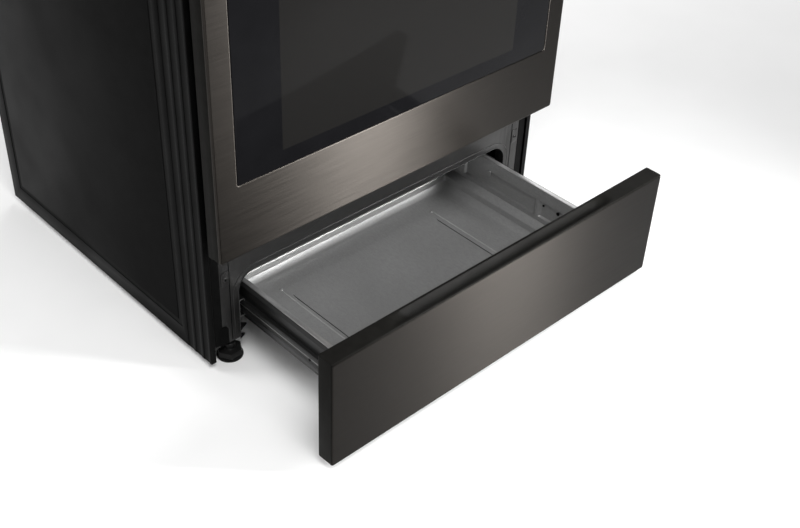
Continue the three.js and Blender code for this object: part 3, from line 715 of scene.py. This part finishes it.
def make_drawer_pan():
    """A pressed tray: a flat floor with a sunk panel, sloped sides, a ledge and a low back lip."""
    low, high = span("drawer_pan")
    inner = span("drawer_side_right")[0].x
    floor = low.z
    top = []
    for share, drop, radius in PANEL_LEVELS:
        run = PANEL.slope * share
        z = floor - PANEL.drop * drop
        top.append(pan_ring(PANEL.half_width - run, low.y + PANEL.front + run,
                            high.y - PANEL.back - run * 4, z, z, radius))
    for from_side, back, side_z, back_z, radius in PAN_LEVELS:
        top.append(pan_ring(inner - from_side, low.y + from_side * 0.5, high.y + back, floor + side_z,
                            floor + back_z, radius))
    top.append(pan_ring(high.x, low.y, high.y, floor + PAN.side_top, floor + PAN.back_top, 2))
    under = [[(x, y, z - PAN.sheet) for x, y, z in ring] for ring in top]
    tray = ring_stack("drawer_tray", under + list(reversed(top)), sharp=24)
    fit(tray, "drawer", "pan_steel", ["drawer_pan"])
    for name, side in SIDES:
        make_panel_marks(name, side, floor, low.y + PANEL.front, high.y - PANEL.back)


def make_panel_marks(name, side, floor, front, back):
    """A painted highlight along the crest and painted shade along the root of the panel's slope on one side,
    and the dimple at its back corner.
    """
    crest = ("crest", PANEL.half_width + 1.5, floor - 0.3, 1.2, "painted_highlight")
    root_x = PANEL.half_width - PANEL.slope - 0.5
    root = ("root", root_x, floor - PANEL.drop - 0.2, 0.9, "rail_steel")
    # the crest tube's pale finish is a painted highlight, the root tube's dark finish is painted shade
    for part, x, z, radius, finish in (crest, root):
        bead = tube(f"tray_{part}_{name}", [(side * x, front + 6, z), (side * x, back - 2, z)], radius, 8)
        fit(bead, "drawer", "pan_steel", finish=finish)
    dimple = lathe(f"tray_dimple_{name}", (side * PANEL.half_width, back + 1, floor), "z",
                   [(3.6, -0.2), (2.8, 0.7), (1.6, 1.2), (0, 1.4)], 20)
    fit(dimple, "drawer", "pan_steel")


# ---------------- drawer sides

WALL = Sizes(sheet=1.2, flange=9.4)
# the pressed part of a side, measured from its back end, with an unpressed rib across it
PRESS = Sizes(depth=4.2, start=48, run=4, end=8, rib=232, rib_flat=3, rib_run=6)
WALL_HOLES = Sizes(height=38, sizes=((282, 3.4), (247, 2.3)))
WALL_TAB = Sizes(back=112, front=105, bottom=34, top=46, corner=2)


def side_section(low, high, press):
    """A folded drawer side in section: an inner wall pressed outwards under a flat top flange."""
    sheet = WALL.sheet
    inner, bottom, top = low.x, low.z, high.z
    outer = inner + WALL.flange
    wall = [(inner, bottom), (inner, bottom + 9), (inner + press, bottom + 11.5), (inner + press, top - 27),
            (inner, top - 24.5), (inner, top - 1.6)]
    back = [(x + sheet, z) for x, z in wall]
    over = arc((inner + 1.6, top - 1.6), 1.6, 180, 90, 3) + arc((outer - 0.8, top - 0.8), 0.8, 90, 0, 3)
    flange = [(outer, top - 2.4), (outer - sheet, top - 2.4), (inner + 2.2, top - 2.4)]
    return wall + over + flange + back[::-1]


def press_depth(mark, length):
    """How far the side is pressed outwards at that distance from its back end."""
    rise = smooth_step((mark - PRESS.start + PRESS.run) / PRESS.run)
    fall = smooth_step((length - PRESS.end - mark) / PRESS.end)
    rib = 1 - smooth_step(1 - (abs(mark - PRESS.rib) - PRESS.rib_flat) / PRESS.rib_run)
    return PRESS.depth * rise * fall * rib


def press_marks(length):
    """The distances from the back end at which the side changes its section."""
    ramp = PRESS.start - PRESS.run
    marks = [0, ramp]
    marks += [ramp + PRESS.run * step / 6 for step in range(1, 7)]
    for edge in (PRESS.rib - 6, PRESS.rib + 6):
        marks += [edge - 3, edge - 1.5, edge, edge + 1.5, edge + 3]
    marks += [length - 2 * PRESS.end, length - 10, length]
    return sorted(marks)


def make_drawer_sides():
    """Two folded walls, each with its slide rail, two holes and a tab."""
    low, high = span("drawer_side_right")
    length = high.y - low.y
    for name, side in SIDES:
        rings = [[(side * x, high.y - mark, z) for x, z in side_section(low, high, press_depth(mark, length))]
                 for mark in press_marks(length)]
        wall = ring_stack(f"drawer_wall_{name}", rings, sharp=20)
        fit(wall, "drawer", "grey_steel", [f"drawer_side_{name}"])
        make_drawer_rail(name, side, low, high)
        make_wall_marks(name, side, low, high.y)


def make_drawer_rail(name, side, low, high):
    """The rail beside a wall: a sloped edge over a plain outer face."""
    seam = low.x + WALL.flange + 0.3
    face = high.x - WALL.sheet
    edge = [(seam, high.z - 1.2), (seam + 1.2, high.z - 1.0), (high.x, high.z - 5.5), (face, high.z - 6),
            (seam, high.z - 2.6)]
    outer = [(high.x, high.z - 5.9), (high.x, low.z), (face, low.z), (face, high.z - 6.3)]
    for part, section, finish in (("edge", edge, "rail_steel"), ("wall", outer, "slide_steel")):
        outline = [(side * x, z) for x, z in section]
        rail = prism(f"drawer_rail_{part}_{name}", "y", outline, low.y, high.y - 1)
        fit(rail, "drawer", "grey_steel", finish=finish)


def make_wall_marks(name, side, low, rear):
    """The holes and the tab of a wall, set by their distances from its back end."""
    for index, (back_by, radius) in enumerate(WALL_HOLES.sizes):
        # each hole is a black plug: painted shade for the open hole
        centre = (side * (low.x + 0.6), rear - back_by, low.z + WALL_HOLES.height)
        profile = [(radius, -0.9), (radius * 0.92, 0.9)]
        spot = lathe(f"drawer_wall_{name}_hole_{index}", centre, "x", profile, 24)
        fit(spot, "drawer", "grey_steel", finish="black_paint")
    outline = rounded((rear - WALL_TAB.back, low.z + WALL_TAB.bottom),
                      (rear - WALL_TAB.front, low.z + WALL_TAB.top), WALL_TAB.corner)
    tab = ring_stack(f"drawer_wall_{name}_tab", [
        place("x", outline, side * (low.x - out)) for out in (-0.5, 1.6, 2.0)])
    fit(tab, "drawer", "grey_steel")


# ---------------- fasteners, frame, slides and feet

def on_frame(piece, finish):
    """Fixes a piece to the front frame."""
    fit(piece, "range_body", "grey_steel", finish=finish)


# (share of the head's radius, height)
SCREW_DOME = ((1, -0.3), (0.98, 0.4), (0.86, 1.1), (0.62, 1.7), (0.3, 2.0), (0, 2.1))
CROSS = Sizes(long=0.55, wide=0.12, bottom=1.0, top=2.15)
OPENING = Sizes(half_width=313, above_low=2, top=162, corner=32)
RETURN = Sizes(inner=350, above_low=4, top=235)
BRACKET = Sizes(inner=331.5, outer=346.5, bottom=156, top=184, screw_x=339, screw_z=170)
SEAM = Sizes(x=330.5, half_width=0.7, bottom=40, top=215)
FOOT_WELL = Sizes(x=347, z=66, radius=9)
BARBS = Sizes(x=314, tip_from=311, sizes=((58, 11, 10), (38, 7, 6)))
MEMBER = Sizes(corner=2.5, groove=1.8, groove_half=6, floor_half=4.4)
TRACK = Sizes(inset=1.6, rise=3, front=30, back=60, radius=0.8)
SLIDE_HOLES = (25, 105)


def screw(name, x, y, z, facing, radius, slot, finish=None):
    """A round-head screw with a cross recess, facing along y, in the range body."""
    dome = [(radius * share, facing * up) for share, up in SCREW_DOME]
    head = lathe(f"{name}_head", (x, y, z), "y", dome, 28)
    long, wide = radius * CROSS.long, radius * CROSS.wide
    # the cross recess is drawn as two black bars set in the head: painted shade for the hollow
    bars = [prism(f"{name}_bar", "y", centred(x, z, half_x, half_z, 0.2, 2),
                  y + facing * CROSS.bottom, y + facing * CROSS.top)
            for half_x, half_z in ((long, wide), (wide, long))]
    fit(join(f"{name}_recess", bars), "range_body", slot, finish="black_paint")
    fit(head, "range_body", slot, finish=finish)


def opening_edge(low_z, by):
    """The drawer opening's outline as an arch open at the bottom, widened by that much."""
    half_width, corner = OPENING.half_width, OPENING.corner
    bottom = low_z + OPENING.above_low
    right = arc((half_width - corner, OPENING.top - corner), corner + by, 0, 90, 8)
    left = arc((corner - half_width, OPENING.top - corner), corner + by, 90, 180, 8)
    return [(half_width + by, bottom)] + right + left + [(-half_width - by, bottom)]


def make_frame_details():
    """The rolled lip and the bead of the drawer opening, then the details of each side."""
    low, high = span("front_frame")
    # the lip is a rolled edge whose slightly lighter finish is also a painted highlight along the opening
    for name, by, y, radius, finish in (("frame_lip", 0.8, low.y - 0.1, 0.7, "rail_steel"),
                                        ("frame_bead", 11, low.y + 0.5, 1.0, "frame_paint")):
        wire = tube(name, [(x, y, z) for x, z in opening_edge(low.z, by)], radius, 8)
        on_frame(wire, finish)
    for name, side in SIDES:
        make_frame_side(name, side, low, high)
        make_foot_well(name, side, low)
        make_barbs(name, side, low.y)
        make_slide_end(name, side)


def frame_plate(name, face, xs, zs, corner, steps, proud, finish, edge=0.0):
    """A thin rounded plate on the face of the front frame."""
    outline = rounded((min(xs), zs[0]), (max(xs), zs[1]), corner, steps)
    plate = prism(name, "y", outline, face - proud, face + 0.2, edge)
    on_frame(plate, finish)


def make_frame_side(name, side, low, high):
    """The dark return at the frame's end, the bracket with its screw, and the seam."""
    face = low.y
    frame_plate(f"frame_return_{name}", face, (side * RETURN.inner, side * (high.x - 0.5)),
                (low.z + RETURN.above_low, RETURN.top), 1.5, 3, 0.7, "black_paint")
    frame_plate(f"frame_bracket_{name}", face, (side * BRACKET.inner, side * BRACKET.outer),
                (BRACKET.bottom, BRACKET.top), 3.5, 4, 1.1, "frame_paint", 0.4)
    screw(f"frame_screw_{name}", side * BRACKET.screw_x, face - 1, BRACKET.screw_z, -1, 4.6,
          "grey_steel", "frame_paint")
    x = side * SEAM.x
    frame_plate(f"frame_seam_{name}", face, (x - SEAM.half_width, x + SEAM.half_width),
                (SEAM.bottom, SEAM.top), 0.5, 2, 0.35, "black_paint")


def make_foot_well(name, side, low):
    """A black arch on the frame's lower end, painted shade for the recess where the foot is reached."""
    x, radius = FOOT_WELL.x, FOOT_WELL.radius
    well = [(side * (x - radius), low.z + 1)]
    well += arc((side * x, FOOT_WELL.z), radius, 0, 180, 8)[::-side]
    well.append((side * (x + radius), low.z + 1))
    arch = prism(f"frame_foot_well_{name}", "y", well, low.y - 0.9, low.y + 0.1)
    on_frame(arch, "black_paint")


def make_barbs(name, side, face):
    """Two dark barbs that point into the drawer opening."""
    for index, (z, tall, tip) in enumerate(BARBS.sizes):
        x = side * BARBS.x
        tip_x = side * (BARBS.tip_from - tip)
        outline = [(x, z - tall), (tip_x, z - 1), (tip_x, z + 1), (x, z + tall * 0.8)]
        barb = prism(f"frame_barb_{name}_{index}", "y", outline, face + 0.2, face + 1.8)
        on_frame(barb, "black_paint")


def make_slide_end(name, side):
    """The bright rim at the front end of the outer slide member."""
    low, high = span("slide_outer_right")
    corners = rounded((low.x + 0.5, low.z), (high.x, high.z), 3.5, 4)
    path = [(side * x, low.y - 0.6, z) for x, z in corners]
    rim = tube(f"slide_end_{name}", path, 0.7, 8, looped=True)
    on_frame(rim, "edge_steel")


def make_slides():
    """The inner slide members: rolled channels with a ball track pressed along the outer face."""
    low, high = span("slide_inner_right")
    middle = (low.z + high.z) / 2
    face = high.x
    corner = MEMBER.corner
    groove = face - MEMBER.groove
    section = [(low.x, low.z)] + arc((face - corner, low.z + corner), corner, -90, 0, 4)
    section += [(face, middle - MEMBER.groove_half), (groove, middle - MEMBER.floor_half),
                (groove, middle + MEMBER.floor_half), (face, middle + MEMBER.groove_half)]
    section += arc((face - corner, high.z - corner), corner, 0, 90, 4) + [(low.x, high.z)]
    for name, side in SIDES:
        member = prism(f"slide_member_{name}", "y", [(side * x, z) for x, z in section], low.y, high.y)
        fit(member, "drawer", "grey_steel", [f"slide_inner_{name}"], "slide_steel")
        x = side * (face - TRACK.inset)
        z = middle + TRACK.rise
        path = [(x, low.y + TRACK.front, z), (x, high.y - TRACK.back, z)]
        track = tube(f"slide_track_{name}", path, TRACK.radius, 8)
        fit(track, "drawer", "grey_steel", finish="edge_steel")
        for index, at in enumerate(SLIDE_HOLES):
            # each hole is a black plug: painted shade for the open hole
            hole = lathe(f"slide_hole_{name}_{index}", (side * face, low.y + at, middle + 1), "x",
                         [(2.6, -1.9 * side), (2.4, 0.15 * side)], 20)
            fit(hole, "drawer", "grey_steel", finish="black_paint")


HEXAGON = Sizes(bottom=4.5, top=17.5)
STEM = Sizes(radius=6, start=30.2, end=5.2, spare=31, pitch=1.5, depth=0.45)


def hexagon(angle, height):
    """Draws the foot's pressed part in to a hexagon and leaves the rest round."""
    if not HEXAGON.bottom < height < HEXAGON.top:
        return 1
    return cos(pi / 6) / cos(angle % (pi / 3) - pi / 6)


def make_legs():
    """Each foot is a pressed hexagon on a round pad, under a threaded stem."""
    for name in ("front_left", "front_right", "rear_left", "rear_right"):
        node = f"leveling_leg_{name}"
        low, high = span(node)
        tall = high.z - low.z
        radius, pitch = STEM.radius, STEM.pitch
        profile = [(21, 0), (22.6, 0.6), (23, 2), (22.6, 3.6), (20.5, 4.2), (20.5, 5), (22.8, 6), (22.8, 14),
                   (21.6, 16.4), (19, 17), (11.5, 17.6), (10, 18.6), (10, 28.6), (9, 29.6), (radius, 29.7)]
        for turn in range(int((tall - STEM.spare) / pitch)):
            base = STEM.start + turn * pitch
            profile += [(radius - STEM.depth, base), (radius, base + pitch / 2)]
        profile.append((STEM.end, tall))
        centre = ((low.x + high.x) / 2, (low.y + high.y) / 2, low.z)
        foot = lathe(f"{node}_foot", centre, "z", profile, 48, hexagon, sharp=30)
        fit(foot, BODY_OF[node], "zinc_steel", [node], "black_plastic")


# ---------------- cooktop and burners

WELL = Sizes(sides=10, front=40)
BURNERS = ("front_left", "front_right", "rear_left", "rear_right", "centre")
PORTS = Sizes(per_radius=0.62, depth=0.06, sharpness=0.35, low=0.55, high=0.93)


def make_cooktop():
    """A pressed enamel top: a rounded rim round a shallow well."""
    low, high = span("cooktop")
    rim = high.z
    levels = [(0, low.z, 6), (0, rim - 4, 8), (0.5, rim - 1.8, 8), (2.0, rim - 0.4, 8), (4.5, rim, 8)]
    rings = [place("z", rounded((low.x + by, low.y + by), (high.x - by, high.y - by), radius), z)
             for by, z, radius in levels]
    well = [(0, rim, 20), (1.4, rim - 0.5, 20), (3.6, rim - 3.4, 20), (6.5, rim - 4.5, 18)]
    sides, front = WELL.sides, WELL.front
    for by, z, radius in well:
        outline = rounded((low.x + sides + by, low.y + front + by),
                          (high.x - sides - by, high.y - sides - by), radius)
        rings.append(place("z", outline, z))
    fit(ring_stack("cooktop_pressing", rings), "range_body", "black_enamel", ["cooktop"])


def make_burner_head(name, centre, radius, height):
    """A cast base whose skirt has gas ports cut in it."""
    ports = round(radius * PORTS.per_radius)

    def ported(angle, z):
        notch = max(0.0, cos(ports * angle) - PORTS.sharpness)
        return 1 - (PORTS.depth * notch if height * PORTS.low < z < height * PORTS.high else 0)

    profile = [(radius - 3, 0), (radius - 0.5, 0.6), (radius, 2), (radius - 1.2, 3.6), (radius - 7, 5.5),
               (radius - 8.5, 7.2), (radius - 8.5, 7.8), (radius - 8, 8.2), (radius - 8, height - 2.2),
               (radius - 8.4, height - 0.8), (radius - 10, height), (0, height)]
    head = lathe(f"burner_head_{name}", centre, "z", profile, 192, ported)
    fit(head, "range_body", "cast_alloy", [f"burner_base_{name}"])


def make_burner_lid(name, centre):
    """A domed iron cap with a rounded edge."""
    low, high = span(f"burner_cap_{name}")
    reach = (high.x - low.x) / 2
    thick = high.z - low.z
    profile = [(reach - 6, 0), (reach - 1.2, 0.3), (reach, 1.6), (reach, thick * 0.5),
               (reach - 1.1, thick * 0.75), (reach - 4, thick * 0.9), (reach * 0.7, thick * 0.97),
               (reach * 0.35, thick), (0, thick)]
    lid = lathe(f"burner_lid_{name}", (centre[0], centre[1], low.z), "z", profile, 96)
    fit(lid, "range_body", "cast_iron", [f"burner_cap_{name}"])


def make_burners():
    """Each burner has its head, its lid and a raised bead in the cooktop round it."""
    for name in BURNERS:
        low, high = span(f"burner_base_{name}")
        radius = (high.x - low.x) / 2
        centre = ((low.x + high.x) / 2, (low.y + high.y) / 2, low.z)
        make_burner_head(name, centre, radius, high.z - low.z)
        make_burner_lid(name, centre)
        section = [(radius + 9, -0.35), (radius + 11, 0.2), (radius + 14, 0.45), (radius + 17, 0.2),
                   (radius + 19, -0.35), (radius + 9, -0.6)]
        bead = lathe(f"cooktop_bead_{name}", centre, "z", section, 96, looped=True)
        fit(bead, "range_body", "black_enamel")


# ---------------- control panel and knobs

# (radius, y) forward from the panel
KNOB_SKIRT = [(24, -0.2), (26.6, -0.6), (27, -2), (26.6, -5), (25, -6), (21, -6.2)]
KNOB_BARREL = [(21.6, -5.5), (22, -7), (21.4, -29), (20.6, -31.2), (18, -32), (0, -32)]
KNURL = Sizes(count=36, depth=0.012, front=-28, back=-8)
GRIP = Sizes(half_width=4, half_height=21, corner=3.6, levels=((31, 0), (36.2, 0.2), (37.5, 1.0), (38, 2.2)))
POINTER = Sizes(half_width=0.7, bottom=8, top=18, corner=0.6, front=38.15, back=37.6)


def make_control_panel():
    """A brushed fascia whose top rolls back to the cooktop."""
    low, high = span("control_panel")
    front, rear, bottom, top = low.y, high.y, low.z, high.z
    outline = [(front + 3, bottom)] + arc((front + 2.5, bottom + 2.5), 2.5, -110, -180, 4)
    outline += arc((front + 30, top - 30), 30, 180, 90, 12) + [(rear, top), (rear, bottom)]
    panel = prism("control_fascia", "x", outline, low.x, high.x, 1.2)
    fit(panel, "range_body", "black_steel", ["control_panel"])


def knurled(angle, y):
    """Cuts fine grooves along the barrel of a knob."""
    if not KNURL.front < y < KNURL.back:
        return 1
    return 1 - KNURL.depth * (0.5 + 0.5 * cos(KNURL.count * angle))


def make_knobs():
    """A skirt, a knurled barrel, a rounded grip across its end, and a pale pointer line."""
    for number in range(1, 6):
        node = f"knob_{number}"
        body = BODY_OF[node]
        low, high = span(node)
        x, y, z = (low.x + high.x) / 2, high.y, (low.z + high.z) / 2
        skirt = lathe(f"{node}_skirt", (x, y, z), "y", KNOB_SKIRT, 64)
        fit(skirt, body, "black_steel", [node])
        barrel = lathe(f"{node}_barrel", (x, y, z), "y", KNOB_BARREL, 64, knurled)
        fit(barrel, body, "black_steel", finish="satin_black")
        rings = [place("y", centred(x, z, GRIP.half_width - by, GRIP.half_height - by,
                                    GRIP.corner - by), y - out) for out, by in GRIP.levels]
        fit(ring_stack(f"{node}_grip", rings), body, "black_steel")
        outline = rounded((x - POINTER.half_width, z + POINTER.bottom),
                          (x + POINTER.half_width, z + POINTER.top), POINTER.corner)
        line = prism(f"{node}_pointer", "y", outline, y - POINTER.front, y - POINTER.back)
        fit(line, body, "black_steel", finish="marking")


# ---------------- backguard

GUARD = Sizes(lean=18, lean_below_top=12, top_front=28)
KEYS = Sizes(columns=4, rows=3, first_x=90, pitch_x=30, pitch_z=42, half_x=6, half_z=1.0)
STROKE = Sizes(half=0.9, wide=12, tall=11)
TOP_BAR = ((0, 1), (1, 1))
LOW_BAR = ((0, -1), (1, -1))
DIGITS = {
    "0": [TOP_BAR, LOW_BAR, ((0, -1), (0, 1)), ((1, -1), (1, 1))],
    "1": [((1, -1), (1, 1))],
    "2": [TOP_BAR, ((0, 0), (1, 0)), LOW_BAR, ((1, 0), (1, 1)), ((0, -1), (0, 0))],
}
CLOCK = ((-36, "1"), (-16, "2"), (8, "0"), (28, "0"))


def on_guard(name, x_span, z_span, radius, proud, thick, steps=4):
    """A thin rounded plate on the leaning face of the backguard."""
    low, high = span("backguard")
    lean_height = high.z - GUARD.lean_below_top - low.z
    rings = []
    for out, inset in ((proud - thick, 0), (proud - 0.4, 0), (proud, 0.5)):
        outline = rounded((x_span[0] + inset, z_span[0] + inset), (x_span[1] - inset, z_span[1] - inset),
                          radius, steps)
        rings.append([(x, low.y + GUARD.lean * (z - low.z) / lean_height - out, z) for x, z in outline])
    return ring_stack(name, rings)


def mark_on_guard(x_span, z_span, radius):
    """One printed mark on the display."""
    return on_guard("mark", x_span, z_span, radius, 1.75, 0.6, 2)


def make_backguard():
    """A folded guard that leans back, with a black glass display and its touch marks."""
    low, high = span("backguard")
    fold = low.z + (high.z - GUARD.lean_below_top - low.z)
    outline = filleted([
        (low.y, low.z, 1), (low.y + GUARD.lean, fold, 14), (low.y + GUARD.top_front, high.z, 4),
        (high.y, high.z, 4), (high.y, low.z, 1)], 6)
    shell = prism("backguard_shell", "x", outline, low.x, high.x, 1.6)
    fit(shell, "range_body", "black_steel", ["backguard"])
    pane_low, pane_high = span("backguard_display")
    pane = on_guard("display_pane", (pane_low.x, pane_high.x), (pane_low.z, pane_high.z), 8, 1.6, 2.4)
    fit(pane, "range_body", "black_glass", ["backguard_display"])
    middle_z = (pane_low.z + pane_high.z) / 2
    marks = touch_marks(middle_z) + clock_marks(middle_z)
    fit(join("display_marks", marks), "range_body", "black_glass", finish="marking")


def touch_marks(middle_z):
    """Rows of short lines on both sides of the clock."""
    marks = []
    for column in range(KEYS.columns):
        for row in range(KEYS.rows):
            for side in (-1, 1):
                x = side * (KEYS.first_x + column * KEYS.pitch_x)
                z = middle_z + (row - 1) * KEYS.pitch_z
                marks.append(mark_on_guard((x - KEYS.half_x, x + KEYS.half_x),
                                           (z - KEYS.half_z, z + KEYS.half_z), 0.9))
    return marks


def clock_marks(middle_z):
    """The clock's digits, drawn in straight strokes."""
    marks = []
    half = STROKE.half
    for x, digit in CLOCK:
        for start, end in DIGITS[digit]:
            left, right = sorted((x + start[0] * STROKE.wide, x + end[0] * STROKE.wide))
            bottom, top = sorted((middle_z + start[1] * STROKE.tall, middle_z + end[1] * STROKE.tall))
            marks.append(mark_on_guard((left - half, right + half), (bottom - half, top + half), 0.8))
    return marks


# ---------------- oven racks and back

RACK = Sizes(rail=3, corner=14, cross_y=70, wire=1.9, reach=270, pitch=30, lift=4.6, bend=12)
FENCE = Sizes(half_width=276, radius=2.2, inset=2)
BACK_SCREWS = Sizes(x=345, heights=(90, 220, 480, 740, 885))
LOUVRES = Sizes(rows=9, bottom=600, pitch=18, x=150, half_width=70, tall=7, corner=3.4, proud=1.9, flush=0.3)


def make_racks():
    """Round plated wires welded to a frame, turned up at the back."""
    for name in ("lower", "upper"):
        node = f"oven_rack_{name}"
        low, high = span(node)
        rail, bend = RACK.rail, RACK.bend
        z = low.z + rail
        outline = rounded((low.x + rail, low.y + rail), (high.x - rail, high.y - rail), RACK.corner, 6)
        wires = [tube("rim", [(x, y, z) for x, y in outline], rail, looped=True)]
        cross_y = RACK.cross_y
        wires.append(tube("cross", [(low.x + rail, cross_y, z), (high.x - rail, cross_y, z)], rail))
        back = high.y - bend - 4
        lifted = z + RACK.lift
        for x in range(-RACK.reach, RACK.reach + 1, RACK.pitch):
            path = [(x, low.y + 2, lifted), (x, back, lifted)]
            path += [(x, back + u, z + 16.6 + v) for u, v in arc((0, 0), bend, -80, 0, 5)]
            wires.append(tube("wire", path, RACK.wire, 10))
        fence = [(end * FENCE.half_width, high.y - 4, high.z - FENCE.inset) for end in (-1, 1)]
        wires.append(tube("fence", fence, FENCE.radius))
        fit(join(f"{node}_wires", wires), "range_body", "bright_wire", [node])


def make_back_details():
    """The screws along both edges of the back, and two columns of louvres in its cover."""
    low, high = span("back_panel")
    count = 0
    for z in BACK_SCREWS.heights:
        for side in (-1, 1):
            count += 1
            screw(f"back_screw_{count}", side * BACK_SCREWS.x, low.y + 2, z, 1, 4.5, "zinc_steel")
    cover = high.y
    half_width, tall = LOUVRES.half_width, LOUVRES.tall
    for row in range(LOUVRES.rows):
        z = LOUVRES.bottom + row * LOUVRES.pitch
        for name, side in SIDES:
            x = side * LOUVRES.x
            outline = rounded((x - half_width, z), (x + half_width, z + tall), LOUVRES.corner)
            hood = [(u, cover + (LOUVRES.proud if v > z + tall / 2 else LOUVRES.flush), v)
                    for u, v in outline]
            louvre = ring_stack(f"back_louvre_{row}_{name}", [place("y", outline, cover - 0.5), hood])
            fit(louvre, "range_body", "zinc_steel")


# ---------------- the whole range

make_materials()
make_camera()
make_studio()
make_floor()
dress_nodes()
make_door()
make_door_handle()
make_drawer_core()
make_drawer_face()
make_drawer_pan()
make_drawer_sides()
make_slides()
make_frame_details()
make_legs()
make_cooktop()
make_burners()
make_control_panel()
make_knobs()
make_backguard()
make_racks()
make_back_details()
